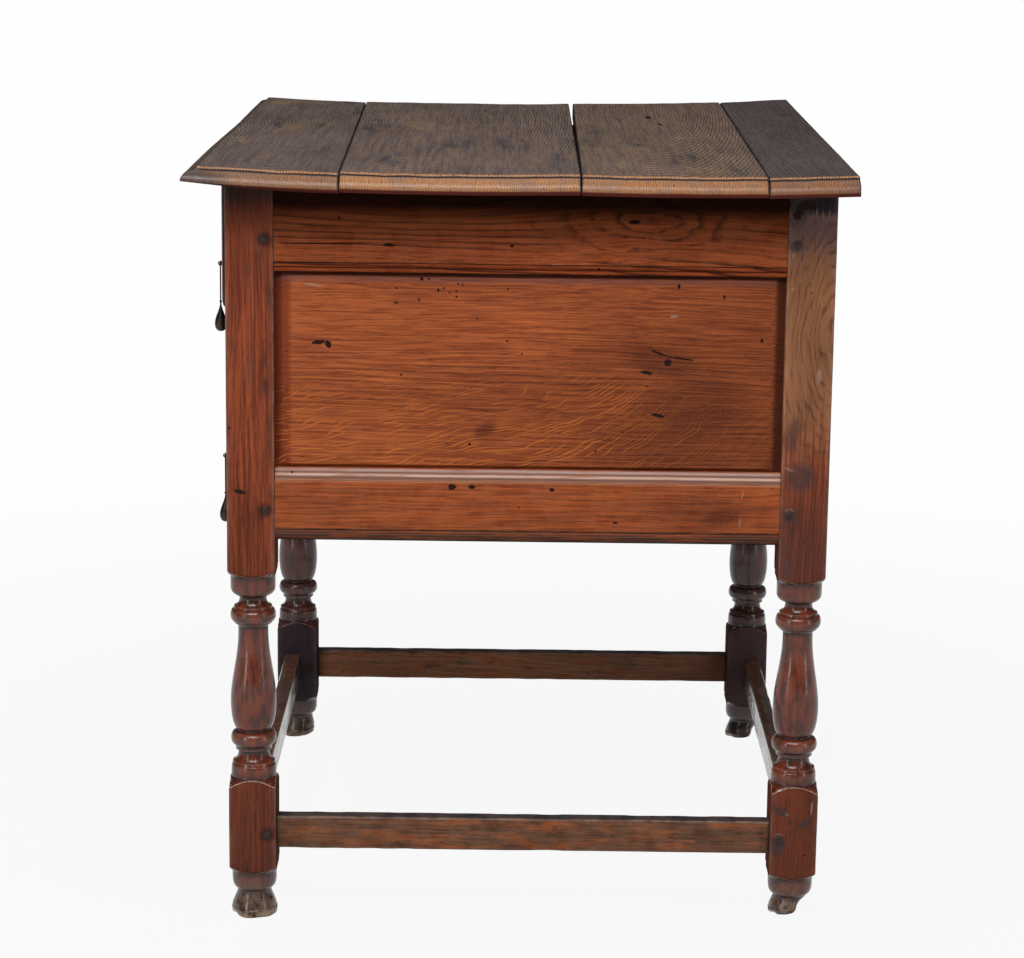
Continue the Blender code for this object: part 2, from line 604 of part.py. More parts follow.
def make_board(name, front_line, back_line, moulded_front, lift, material):
    """One board of the top; its lines are (left, right) distances from the top's middle.

    The ends, and the front edge of the front board, follow the nosing. A lift tips the board up about its
    inner lower edge: a positive lift raises the front edge, a negative one the back edge.
    """
    pivot_y = (sum(back_line) if lift > 0 else sum(front_line)) / 2
    rings = []
    shape = bmesh.new()
    for inset, height in nosing_section():
        x = TOP_LENGTH / 2 - inset
        front_inset = inset if moulded_front else 0.0
        ring = []
        corners = ((-1, front_line, front_inset), (1, front_line, front_inset),
                   (1, back_line, 0.0), (-1, back_line, 0.0))
        for sign, line, shift in corners:
            along = (1 + sign * x / (TOP_LENGTH / 2)) / 2
            y = line[0] + (line[1] - line[0]) * along + shift - pivot_y
            ring.append(shape.verts.new((sign * x, y, height)))
        rings.append(ring)
    shape.faces.new(rings[0])
    shape.faces.new(rings[-1])
    for upper, lower in zip(rings, rings[1:]):
        for k in range(len(upper)):
            after = (k + 1) % len(upper)
            shape.faces.new((upper[k], upper[after], lower[after], lower[k]))
    width = (sum(back_line) - sum(front_line)) / 2
    return add_object(name, shape, material, (0, pivot_y, CASE_TOP), (-asin(lift / width), 0, 0))


def joint_line(middle, taper):
    """A joint's (left, right) places, from its middle and how much it swings."""
    return (middle - taper / 2, middle + taper / 2)


def shifted(line, left, right):
    """A line moved by different amounts at its two ends."""
    return (line[0] + left, line[1] + right)


def make_top(material):
    """Four boards with their joints a little open."""
    front = -TOP_DEPTH / 2
    back = TOP_DEPTH / 2
    first = joint_line(front + FRONT_BOARD_WIDTH, FRONT_BOARD_TAPER)
    third = joint_line(back - BACK_BOARD_WIDTH, -BACK_BOARD_TAPER)
    second = joint_line(sum(third) / 2 - THIRD_BOARD_WIDTH, -BACK_BOARD_TAPER - THIRD_BOARD_TAPER)
    gap = JOINT_GAP / 2
    wide = OPEN_JOINT_GAP / 2
    make_board("top_board_front", (front, front), shifted(first, -gap, -gap), True, EDGE_LIFT, material)
    second_front = shifted(first, gap, gap)
    third_front = shifted(second, wide, gap)
    make_board("top_board_second", second_front, shifted(second, -wide, -gap), False, 0.0, material)
    make_board("top_board_third", third_front, shifted(third, -gap, -gap), False, 0.0, material)
    make_board("top_board_back", shifted(third, gap, gap), (back, back), False, -EDGE_LIFT, material)


def make_drawer_front(name, height, eye_height, origin, material):
    """Front board with a worked edge, rebates for sides and bottom, and slots for the staples."""
    half = DRAWER_WIDTH / 2
    thick = DRAWER_FRONT_THICKNESS
    shape = box((-half, FRONT_ROUND_DEPTH, 0), (half, thick, height))
    face = min(shape.faces, key=lambda item: item.calc_center_median().y)
    last_width = last_depth = 0.0
    for k in range(1, FRONT_ROUND_STEPS + 1):
        a = pi / 2 * k / FRONT_ROUND_STEPS
        width, depth = FRONT_ROUND_WIDTH * (1 - cos(a)), FRONT_ROUND_DEPTH * sin(a)
        bmesh.ops.inset_region(shape, faces=[face], thickness=width - last_width, depth=depth - last_depth)
        last_width, last_depth = width, depth
    front = add_object(f"{name}_front", shape, material, origin)

    cuts = bmesh.new()
    beyond = thick + FRONT_REBATE
    inner = half - DRAWER_SIDE_THICKNESS - FIT
    start = thick - FRONT_REBATE
    for near, far in ((inner, half + FRONT_REBATE), (-half - FRONT_REBATE, -inner)):
        add_box(cuts, (near, start, -height), (far, beyond, 2 * height))
    bottom_top = DRAWER_BOTTOM_RAISE + DRAWER_BOTTOM_THICKNESS + FIT
    bottom = box((-inner - FIT, thick - BOTTOM_REBATE - FIT, -height), (inner + FIT, beyond, bottom_top))
    room = STAPLE_WIRE / 2 + FIT
    slots = bmesh.new()
    for sign in (-1, 1):
        x = sign * (half - DROP_INSET)
        reach = STAPLE_SPREAD / 2 + room
        add_box(slots, (x - reach, -thick, eye_height - room), (x + reach, 2 * thick, eye_height + room))
    combine(front, add_tool(f"{name}_end_rebates", cuts, origin), "DIFFERENCE")
    combine(front, add_tool(f"{name}_bottom_rebate", bottom, origin), "DIFFERENCE")
    combine(front, add_tool(f"{name}_staple_slots", slots, origin), "DIFFERENCE")


def make_drawer_box(name, height, origin, depth, material):
    """Sides with a rebate for the bottom, the back between them, and the bottom nailed up from below."""
    half = DRAWER_WIDTH / 2
    side = DRAWER_SIDE_THICKNESS
    top = height - DRAWER_SIDE_DROP
    bottom_top = DRAWER_BOTTOM_RAISE + DRAWER_BOTTOM_THICKNESS
    start = DRAWER_FRONT_THICKNESS - FRONT_REBATE + FIT
    middle = (start + depth) / 2
    shelf = bottom_top + FIT
    lip = side - BOTTOM_REBATE
    section = [(0, 0), (lip, 0), (lip, shelf), (side, shelf), (side, top), (0, top)]
    for end, sign in (("right", 1), ("left", -1)):
        outline = [(sign * (half - u), z) for u, z in section]
        place = (origin[0], origin[1] + middle, origin[2])
        add_object(f"{name}_side_{end}", prism(outline, depth - start), material, place)
    inside = half - side - FIT
    back = box((-inside, depth - DRAWER_BACK_THICKNESS, shelf), (inside, depth, top - DRAWER_SIDE_DROP))
    add_object(f"{name}_back", back, material, origin)
    reach = inside + BOTTOM_REBATE
    bottom_start = DRAWER_FRONT_THICKNESS - BOTTOM_REBATE
    bottom = box((-reach, bottom_start, DRAWER_BOTTOM_RAISE), (reach, depth, bottom_top))
    add_object(f"{name}_bottom", bottom, material, origin)


def staple_route(eye):
    """Half of a staple's centre line, from the bent-over end behind the front to the middle of the eye."""
    leg = STAPLE_SPREAD / 2
    behind = DRAWER_FRONT_THICKNESS + STAPLE_WIRE / 2 + FIT
    points = [(leg + STAPLE_CLINCH, behind)]
    for k in range(STAPLE_BEND_STEPS + 1):
        a = pi / 2 * k / STAPLE_BEND_STEPS
        points.append((leg + STAPLE_BEND * (1 - sin(a)), behind - STAPLE_BEND * (1 - cos(a))))
    for k in range(STAPLE_BEND_STEPS + 1):
        a = pi / 2 * k / STAPLE_BEND_STEPS
        points.append((leg - STAPLE_BEND * (1 - cos(a)), -eye + STAPLE_BEND * (1 - sin(a))))
    return points


def make_staple(name, place, eye, material):
    """Wire bent to a U, pushed through the drawer front and spread behind it."""
    half = staple_route(eye)
    route = half + [(-x, y) for x, y in reversed(half)]
    wire = bpy.data.curves.new(name, "CURVE")
    wire.dimensions = "3D"
    wire.bevel_depth = STAPLE_WIRE / 2
    wire.bevel_resolution = 1
    wire.use_fill_caps = True
    spline = wire.splines.new("POLY")
    spline.points.add(len(route) - 1)
    for point, (x, y) in zip(spline.points, route):
        point.co = (x, y, 0, 1)
    wire.materials.append(material)
    staple = bpy.data.objects.new(name, wire)
    staple.location = place
    bpy.context.collection.objects.link(staple)


def make_drop(name, place, material):
    """Pear-shaped drop with a pierced head; its origin lies on the wire that it hangs on."""
    head = DROP_HEAD / 2
    neck = DROP_NECK / 2
    bulb = DROP_BULB / 2
    step = pi / DROP_HEAD_STEPS
    drop = Turning(head * sin(step), head * cos(step))
    for k in range(2, DROP_HEAD_STEPS - 1):
        drop.line(head * sin(step * k), head * cos(step * k))
    drop.line(neck, -DROP_NECK_START)
    drop.line(neck, -DROP_LENGTH + DROP_FLARE)
    drop.ease(bulb, -DROP_LENGTH + DROP_BULB_HEIGHT / 2)
    drop.quarter(DROP_TIP / 2, -DROP_LENGTH, level_first=False)
    piece = add_object(name, drop.revolve(DROP_SIDES), material, place, smooth=True)
    eye = bmesh.new()
    across = Matrix.Rotation(pi / 2, 4, "Y")
    start = Matrix.Translation((-DROP_HEAD, 0, 0))
    add_rod(eye, STAPLE_WIRE + 2 * FIT, 2 * DROP_HEAD, PEG_SIDES, start @ across)
    combine(piece, add_tool(f"{name}_eye", eye, place), "DIFFERENCE")


def make_drawer(name, low, height, drop_rise, eye, ajar, materials):
    """One drawer with its staples and drops."""
    origin = (0, FRONT_FACE - ajar, low)
    depth = DRAWER_REAR - FRONT_FACE
    make_drawer_front(name, height, drop_rise, origin, materials["case_oak"])
    make_drawer_box(name, height, origin, depth, materials["inner_oak"])
    for end, sign in (("right", 1), ("left", -1)):
        x = sign * (DRAWER_WIDTH / 2 - DROP_INSET)
        face = origin[1]
        level = low + drop_rise
        make_staple(f"{name}_staple_{end}", (x, face, level), eye, materials["drop_brass"])
        make_drop(f"{name}_drop_{end}", (x, face - eye, level), materials["drop_brass"])


def main():
    clear_scene()
    materials = make_materials()
    make_frame(materials)
    make_runners(materials["inner_oak"])
    make_top(materials["top_oak"])
    make_drawer("upper_drawer", DIVIDER_TOP + FIT, UPPER_DRAWER_HEIGHT, UPPER_DROP_RISE,
                UPPER_STAPLE_REACH, UPPER_DRAWER_AJAR, materials)
    make_drawer("lower_drawer", FRONT_RAIL_TOP + FIT, LOWER_DRAWER_HEIGHT, LOWER_DROP_RISE,
                LOWER_STAPLE_REACH, 0.0, materials)


main()
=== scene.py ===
"""Looks of a joined oak side table: worn turned legs, panelled ends, a plank top and two drawers with drops.

Metres, in the frame of the solids. The photographed end faces +X and the drawers open towards -Y.
"""

from dataclasses import dataclass, replace
from math import cos, hypot, pi, radians, sin, sqrt

import bmesh
import bpy
import numpy as np
from mathutils import Matrix, Vector, noise


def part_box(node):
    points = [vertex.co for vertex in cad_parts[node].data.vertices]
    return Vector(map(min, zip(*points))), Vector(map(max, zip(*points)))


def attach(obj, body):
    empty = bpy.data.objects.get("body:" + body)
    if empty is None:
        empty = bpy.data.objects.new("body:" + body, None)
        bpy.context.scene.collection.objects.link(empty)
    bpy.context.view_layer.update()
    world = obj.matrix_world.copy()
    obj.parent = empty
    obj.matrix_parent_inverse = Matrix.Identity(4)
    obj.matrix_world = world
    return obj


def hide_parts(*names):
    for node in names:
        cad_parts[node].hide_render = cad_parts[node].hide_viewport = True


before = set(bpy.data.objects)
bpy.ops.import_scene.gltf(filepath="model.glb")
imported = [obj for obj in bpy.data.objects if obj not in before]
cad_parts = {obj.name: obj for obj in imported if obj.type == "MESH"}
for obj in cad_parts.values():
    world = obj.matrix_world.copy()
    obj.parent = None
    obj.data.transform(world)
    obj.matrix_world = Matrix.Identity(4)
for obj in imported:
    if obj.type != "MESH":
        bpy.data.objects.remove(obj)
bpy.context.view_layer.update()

# Planes and levels of the solids
LEG_LOW, LEG_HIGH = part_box("leg_front_right")
END_FACE = LEG_HIGH.x
FRONT_FACE = LEG_LOW.y
BACK_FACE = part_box("leg_back_right")[1].y
MIDDLE_Y = (FRONT_FACE + BACK_FACE) / 2
LEG_TOP = LEG_HIGH.z
LEG_SQUARE = LEG_HIGH.x - LEG_LOW.x
LEG_HALF = LEG_SQUARE / 2
END_SPAN = BACK_FACE - FRONT_FACE - 2 * LEG_SQUARE
LONG_SPAN = 2 * END_FACE - 2 * LEG_SQUARE
FIT = 0.0003

# Turned legs, from the floor up
FOOT_HEIGHT = 0.0264
DRUM_HEIGHT = 0.0199
STRETCHER_BLOCK_HEIGHT = 0.0933
TURNING_HEIGHT = 0.2013
SHOULDER_RISE = 0.0075
TOE_HEIGHT = 0.008
DRUM_ROUND = 0.0105
COLLAR_HEIGHT = 0.0136
FILLET_HEIGHT = 0.0026
COVE_HEIGHT = 0.0104
SEAT_HEIGHT = 0.006
BEAD_HEIGHT = 0.0128
BELLY_RISE = 0.027
UPPER_NECK_HEIGHT = 0.009
UPPER_COVE_HEIGHT = 0.008
UPPER_COLLAR_HEIGHT = 0.0205
TOE_CUT = 0.0006
TOE_BULGE = 0.0012
ANKLE_CUT = 0.0062
DRUM_CUT = 0.001
DRUM_FOOT_CUT = 0.0052
SEAT_CUT = 0.0052
FILLET_CUT = 0.0024
COVE_CUT = 0.0081
BEAD_EDGE_CUT = 0.0043
BEAD_BULGE = 0.0036
VASE_FOOT_CUT = 0.0071
VASE_BELLY_CUT = 0.0006
VASE_NECK_CUT = 0.0082
UPPER_COVE_CUT = 0.0097
BLOCK_BOTTOM = FOOT_HEIGHT + DRUM_HEIGHT
BLOCK_TOP = BLOCK_BOTTOM + STRETCHER_BLOCK_HEIGHT
CASE_BLOCK_BOTTOM = BLOCK_TOP + TURNING_HEIGHT

# Mouldings
REED_HEIGHT = 0.0048
REED_DEPTH = 0.002
EDGE_BEAD_HEIGHT = 0.009
CHAMFER_HEIGHT = 0.012
CHAMFER_DEPTH = 0.007
QUIRK_DEPTH = 0.0018
RAIL_SETBACK = 0.001
RAIL_THICKNESS = 0.022
STRETCHER_SETBACK = 0.009
STRETCHER_THICKNESS = 0.017
PANEL_TONGUE = 0.0054
PANEL_RAISE = 0.004
PANEL_SIDE_BEVEL = 0.014
PANEL_END_BEVEL = 0.003
GROOVE_DEPTH = 0.008
NOSING_STEP = 0.003
NOSING_WIDTH = 0.0125
NOSING_DROP = 0.0105
NOSING_UNDERCUT = 0.002

# Drops
DROP_LENGTH = 0.066
DROP_BULB_HEIGHT = 0.013
DROP_NECK = 0.0007
DROP_RING = 0.0024
DROP_WIRE = DROP_RING / 5
DROP_WIRE_WIDTH = 1.2 * DROP_WIRE
DROP_TIP_SHARE = 0.2
DROP_BELLY_RISE = 0.55 * DROP_BULB_HEIGHT
DROP_WAIST = 0.42 * DROP_LENGTH
DROP_BEAD_HEIGHT = 0.0022
DROP_BEAD_BULGE = 0.0006
DROP_SIDES = 24
DROP_TUBE_SIDES = 10

# Wear of the legs
SECTION_STEP = 0.00025
CORNER_BLUR = 1
TREND_BLUR = 12
RING_TURN = radians(11)
RING_STEP = 0.006
HOLLOW_DEPTH = 0.0009
CORNER_ROUND = 0.0014
CORNER_WAVES = ((0.0008, 55, 0), (0.0006, 190, 9))  # depth, waves in a metre, step of the seed
CORNER_RANGE = (0.0005, 0.0035)
TURNING_BLEND = 0.00035
TURNED_RAMP = 0.0006
LEG_UNEVENNESS = 0.00018
FOOT_CHIPS = 0.0006
FOOT_DENTS = 0.0007
FOOT_SHRINK = 0.0026
SIDE_SHRINK = 0.022
FOOT_CHIP = radians(-62)
FOOT_CHIP_DEPTH = 0.0036
FOOT_CHIP_SPREAD = 0.35
SOLE_LIFT = 0.012
SOLE_SLOPE = 0.25
SOLE_CHIPS = 0.0006
EDGE_WEAR = 0.12
ARRIS_START, ARRIS_TURN = 41, 3  # degrees from the middle of a side

# First seeds of the hand work on each kind of piece
TOP_RAIL_SEED = 11
BOTTOM_RAIL_SEED = 15
PANEL_SEED = 19
FRONT_RAIL_SEED = 23
STRETCHER_SEED = 27
BOARD_SEED = 31

# Steps of the meshes and unevenness of hand work
BAR_STEP = 0.006
END_RAIL_ROUND = 0.0006
FRONT_RAIL_ROUND = 0.001
STRETCHER_ROUND = 0.0022
RAIL_SWAY = 0.00025
STRETCHER_SWAY = 0.0006
BOARD_ROW_STEP = 0.01
BOARD_COLUMN_STEP = 0.008
PANEL_STEPS = (0.0035, 0.0028)
BOARD_PLANING = 0.00035
BOARD_DENTS = 0.0003
BOARD_SINK = 0.0003
EASED_DEPTH = 0.001
EASED_WIDTH = 0.0016
ARRIS_INSET = NOSING_WIDTH + 0.0004
ARRIS_WIDTH = 0.0011
ARRIS_LOSS = 0.0007
ARRIS_FALL = 0.0007
JOINT_DIRT_WIDTH = 0.0018
FRONT_DIRT_WIDTH = 0.003
PANEL_PLANING = 0.0004
PANEL_DENTS = 0.0002
PANEL_SETBACK = 0.001
GOUGE_DEPTH = 0.0016
PANEL_GOUGE = (-0.193, 0.566, 0.006, 0.0035)
PEG_SIDES = 14
# Peg rings from inside out: reach, share of the radius, and dirt with painted shade, darkest at the rim in
# the leg's face
PEG_PROFILE = ((-1.0, 1.0, 1.0), (0.9, 1.0, 1.0), (0.96, 0.96, 0.8), (0.985, 0.8, 0.2), (1.0, 0.45, 0.0))
PEG_SHADE_REACH = 0.0085
PEG_CHIP_RISE = 0.0062
PEG_CHIP_SHIFT = 0.0022
PEG_CHIP_SIZE = (0.0009, 0.003)
PEG_CHIP_SLANT = 220
DRAWER_END_DIRT_AND_SHADE = (0.0058, 0.0042)
EASED_EDGE = 0.0007

# Old age of the top: a curled, thinned front corner and a twist towards the far back corner
FRONT_CURL = 0.003
FRONT_SPREAD = 0.0045
FRONT_THINNING = 0.004
TWIST_START = 0.03
TOP_TWIST = 0.006

# Waves of noise in a metre along the grain, across it and into the wood
SLOW_SWAY = (2.2, 11, 11)
QUICK_SWAY = (16, 70, 70)
RING_CHANGES = (1.5, 45, 45)
EYE_BREAKS = (70, 160, 160)
PORES = (90, 1300, 1300)
BLOTCHES = (6, 14, 14)
RAY_WANDER = (12, 28, 28)
RAY_DASHES = (32, 190, 190)
LATHE_MOTTLE = (42, 150, 150)
FOOT_MOTTLE = (90, 130, 130)
HATCH_SHAKE = (60, 120, 120)
EDGE_STAINS = (20, 30, 60)
BAND_BREAKS = (26, 300, 300)
RUBBING = (60, 60, 60)
RAGGED_RIMS = (300, 500, 500)
PLANING = (30, 90, 90)

# Grain and colours that every oak shares
GRAIN_DRIFT = (0.413, 0.0137, 0.0071)
HATCH_GAP = 0.0022
RAY_GAP = 0.0034
PORE_SHARE = 0.7
HOLE_CELLS = 42.0
RELIEF = 0.5
OAK_DEPTH = 0.00035
BRASS_DEPTH = 0.0001
# Near-black of grime together with painted shade under the top's overhang
GRIME_AND_SHADE = (14, 3, 1)
SCAR = (34, 18, 13)
PALE_SCAR = (150, 122, 108)
QUIRK_SHADE = (34, 36, 44)
END_DIRT_AND_SHADE = (14, 11, 11)

# Where the parts of a moulded edge fade in, in millimetres from its rim
ARRIS_FADE = (14.6, 13.3)
QUIRK_FADE = (12.95, 12.75)
OVOLO_FADE = (11.9, 11.3)
SKIRT_FADE = (0.4, -1.5)

# Lamps: place, target, size and power
NEAR_END = (0.3, 0.0, 0.55)
STRIP_SIZE = (0.3, 1.7)
LAMPS = {
    "key": ((2.1, -0.35, 2.45), NEAR_END, (1.9, 1.2), 74),
    "left strip": ((1.72, -1.52, 0.95), NEAR_END, STRIP_SIZE, 10),
    "right strip": ((1.4, 1.76, 0.95), NEAR_END, STRIP_SIZE, 8),
    "over": ((-0.6, -0.2, 3.0), (0.0, 0.0, 0.7), (2.4, 2.4), 20),
}

# Camera of the photograph
CAMERA_PLACE = (3.0888, -0.0092, 1.0246)
CAMERA_YAW = -0.000918
CAMERA_PITCH = 0.208186
CAMERA_ROLL = -0.0122485
CAMERA_LENS = 105.59
SENSOR_WIDTH = 36.0


# Small helpers for meshes

def wobble(points, scale, seed):
    """Smooth noise between about -1 and 1 at each point; scale counts waves in a metre along X, Y and Z."""
    shift = Vector((seed * 7.31, seed * 3.17, seed * 5.71))
    size = Vector(scale)
    return np.array([noise.noise(Vector(p) * size + shift) for p in np.reshape(points, (-1, 3))])


def add_mesh(name, points, faces, sharp, **marks):
    """Mesh object from points and faces, smooth up to an angle, with a value per point for each mark."""
    mesh = bpy.data.meshes.new(name)
    mesh.from_pydata(np.reshape(points, (-1, 3)).tolist(), [], faces)
    mesh.shade_smooth()
    mesh.set_sharp_from_angle(angle=radians(sharp))
    for key, values in marks.items():
        layer = mesh.attributes.new(key, "FLOAT", "POINT")
        layer.data.foreach_set("value", np.ravel(values).astype(np.float32))
    shape = bmesh.new()
    shape.from_mesh(mesh)
    bmesh.ops.recalc_face_normals(shape, faces=shape.faces)
    shape.to_mesh(mesh)
    shape.free()
    piece = bpy.data.objects.new(name, mesh)
    bpy.context.scene.collection.objects.link(piece)
    return piece


def loft_faces(rings, around):
    """Faces of a skin over closed rings, with a cap at each end."""
    faces = []
    for i in range(rings - 1):
        for j in range(around):
            k = (j + 1) % around
            faces.append((i * around + j, i * around + k, (i + 1) * around + k, (i + 1) * around + j))
    faces.append(tuple(range(around)))
    faces.append(tuple((rings - 1) * around + j for j in range(around)))
    return faces


def dress(piece, body, slot, node, *materials):
    """Give a new piece its materials and its body, and hide the solid that it stands for; slot is not used.
    """
    for material in materials:
        piece.data.materials.append(material)
    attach(piece, body)
    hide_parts(node)
    return piece


def middle_of(node):
    """Middle of a solid's box."""
    low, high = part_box(node)
    return (low + high) / 2


def wobble_grid(points, scale, seed):
    """Smooth noise on a grid of points."""
    return wobble(points, scale, seed).reshape(points.shape[:2])


def grid_points(*parts):
    """Grid of points from arrays of coordinates that fit together."""
    return np.stack(np.broadcast_arrays(*parts), axis=-1)


def smooth_step(t):
    """Soft ramp from 0 to 1."""
    t = np.clip(t, 0.0, 1.0)
    return t * t * (3 - 2 * t)


class Turning:
    """Half section of a turned piece, drawn along its axis as (radius, height) points."""

    def __init__(self, radius, height):
        self.points = [(radius, height)]

    def line(self, radius, height):
        self.points.append((radius, height))

    def swell(self, radius, height, bulge, steps=16):
        """Half ellipse that bulges out between two places."""
        r0, h0 = self.points[-1]
        for k in range(1, steps + 1):
            t = k / steps
            along = (1 - cos(pi * t)) / 2
            self.line(r0 + (radius - r0) * along + bulge * sin(pi * t), h0 + (height - h0) * along)

    def quarter(self, radius, height, level_first, steps=12):
        """Quarter ellipse that starts level, across the axis, or upright, along it."""
        r0, h0 = self.points[-1]
        for k in range(1, steps + 1):
            a = pi / 2 * k / steps
            early, late = sin(a), 1 - cos(a)
            across, along = (early, late) if level_first else (late, early)
            self.line(r0 + (radius - r0) * across, h0 + (height - h0) * along)

    def ease(self, radius, height, steps=20):
        """Smooth S-curve between two radii."""
        r0, h0 = self.points[-1]
        for k in range(1, steps + 1):
            t = k / steps
            self.line(r0 + (radius - r0) * t * t * (3 - 2 * t), h0 + (height - h0) * t)


def even_points(points, pitch):
    """A polyline read again at even steps."""
    points = np.array(points)
    run = np.concatenate([[0.0], np.cumsum(np.hypot(*np.diff(points, axis=0).T))])
    even = np.linspace(0.0, run[-1], int(run[-1] / pitch) + 1)
    return np.column_stack([np.interp(even, run, points[:, k]) for k in range(2)])


def blur_points(points, width):
    """Round the corners of an evenly read polyline by averaging over a number of steps."""
    offsets = np.arange(-2 * width, 2 * width + 1)
    weights = np.exp(-0.5 * (offsets / width) ** 2)
    weights /= weights.sum()
    padded = np.pad(points, ((2 * width, 2 * width), (0, 0)), mode="edge")
    return np.column_stack([np.convolve(padded[:, k], weights, "valid") for k in range(2)])


def thin_points(points, turn, longest):
    """Indices of the points that a curve needs: one for each bend of an angle and for each longest step."""
    steps = np.diff(points, axis=0)
    heading = np.unwrap(np.arctan2(steps[:, 0], steps[:, 1]))
    kept = [0]
    last = heading[0]
    for k in range(1, len(points) - 1):
        if abs(heading[k] - last) > turn or hypot(*(points[k] - points[kept[-1]])) > longest:
            kept.append(k)
            last = heading[k]
    return kept + [len(points) - 1]


# Small helpers for materials

def tone(red, green, blue):
    """Linear colour from display values between 0 and 255."""
    values = []
    for value in (red, green, blue):
        share = value / 255
        values.append(share / 12.92 if share <= 0.04045 else ((share + 0.055) / 1.055) ** 2.4)
    return (*values, 1.0)


class Graph:
    """Short forms for building the nodes of one material."""

    def __init__(self, name):
        self.material = bpy.data.materials.new(name)
        self.material.use_nodes = True
        self.tree = self.material.node_tree
        self.shader = self.tree.nodes["Principled BSDF"]

    def feed(self, socket, value):
        if isinstance(value, bpy.types.NodeSocket):
            self.tree.links.new(value, socket)
        else:
            socket.default_value = value

    def add(self, kind, inputs=(), **settings):
        node = self.tree.nodes.new(kind)
        for key, value in settings.items():
            setattr(node, key, value)
        for key, value in dict(inputs).items():
            self.feed(node.inputs[key], value)
        return node

    def math(self, operation, *values, clamp=False):
        return self.add("ShaderNodeMath", enumerate(values), operation=operation, use_clamp=clamp).outputs[0]

    def times(self, first, second):
        return self.math("MULTIPLY", first, second)

    def scale(self, value, factor, offset):
        """A value times a factor, plus an offset."""
        return self.math("MULTIPLY_ADD", value, factor, offset)

    def centred(self, value):
        """A noise value moved to between about -0.5 and 0.5."""
        return self.math("SUBTRACT", value, 0.5)

    def apart(self, value, place):
        """How far a value is from a place."""
        return self.math("ABSOLUTE", self.math("SUBTRACT", value, place))

    def vector(self, operation, *values):
        return self.add("ShaderNodeVectorMath", enumerate(values), operation=operation).outputs[0]

    def move(self, place, shift, factors):
        """A place moved by a shift, whose three parts have a factor each."""
        return self.vector("MULTIPLY_ADD", shift, factors, place)

    def length(self, value):
        return self.add("ShaderNodeVectorMath", {0: value}, operation="LENGTH").outputs["Value"]

    def join(self, *values):
        return self.add("ShaderNodeCombineXYZ", enumerate(values)).outputs[0]

    def parts(self, value):
        return self.add("ShaderNodeSeparateXYZ", {0: value}).outputs

    def span(self, value, low, high, start=0.0, end=1.0):
        """Soft ramp from start to end while a value goes from low to high."""
        inputs = {0: value, 1: low, 2: high, 3: start, 4: end}
        return self.add("ShaderNodeMapRange", inputs, interpolation_type="SMOOTHSTEP", clamp=True).outputs[0]

    def noise(self, place, waves, detail=2.0, rough=0.5, output="Fac"):
        """Noise with a number of waves in a metre along each axis."""
        scaled = self.vector("MULTIPLY", place, waves)
        inputs = {"Vector": scaled, "Scale": 1.0, "Detail": detail, "Roughness": rough}
        return self.add("ShaderNodeTexNoise", inputs).outputs[output]

    def shake(self, place, waves, detail, rough):
        """Noise of three parts, each between about -0.5 and 0.5."""
        return self.vector("SUBTRACT", self.noise(place, waves, detail, rough, "Color"), (0.5, 0.5, 0.5))

    def mix(self, share, first, second, mode="MIX"):
        inputs = {0: share, 6: first, 7: second}
        return self.add("ShaderNodeMix", inputs, data_type="RGBA", blend_type=mode).outputs[2]

    def wave(self, place, width, **settings):
        inputs = {"Vector": place, "Scale": pi / (10 * width)}
        return self.add("ShaderNodeTexWave", inputs, **settings).outputs["Fac"]

    def bands(self, place, width):
        """Even bands across the grain."""
        return self.wave(place, width, wave_type="BANDS", bands_direction="Y")

    def rings(self, place, width, direction):
        """Early wood of growth rings of a width: dark from each ring's start, then fading outward."""
        wave = self.wave(place, width, wave_type="RINGS", rings_direction=direction, wave_profile="SAW")
        return self.times(self.span(wave, 0.0, 0.55, 1.0, 0.0), self.span(wave, 0.0, 0.06))

    def mark(self, key):
        return self.add("ShaderNodeAttribute", attribute_name=key).outputs["Fac"]

    def finish(self, colour, rough, height, depth):
        """Lead a colour, a roughness and a relief of a depth to the shader."""
        bump = self.add("ShaderNodeBump", {"Height": height, "Distance": depth, "Strength": RELIEF})
        for key, value in (("Base Color", colour), ("Roughness", rough), ("Normal", bump.outputs[0])):
            self.feed(self.shader.inputs[key], value)
        return self.material


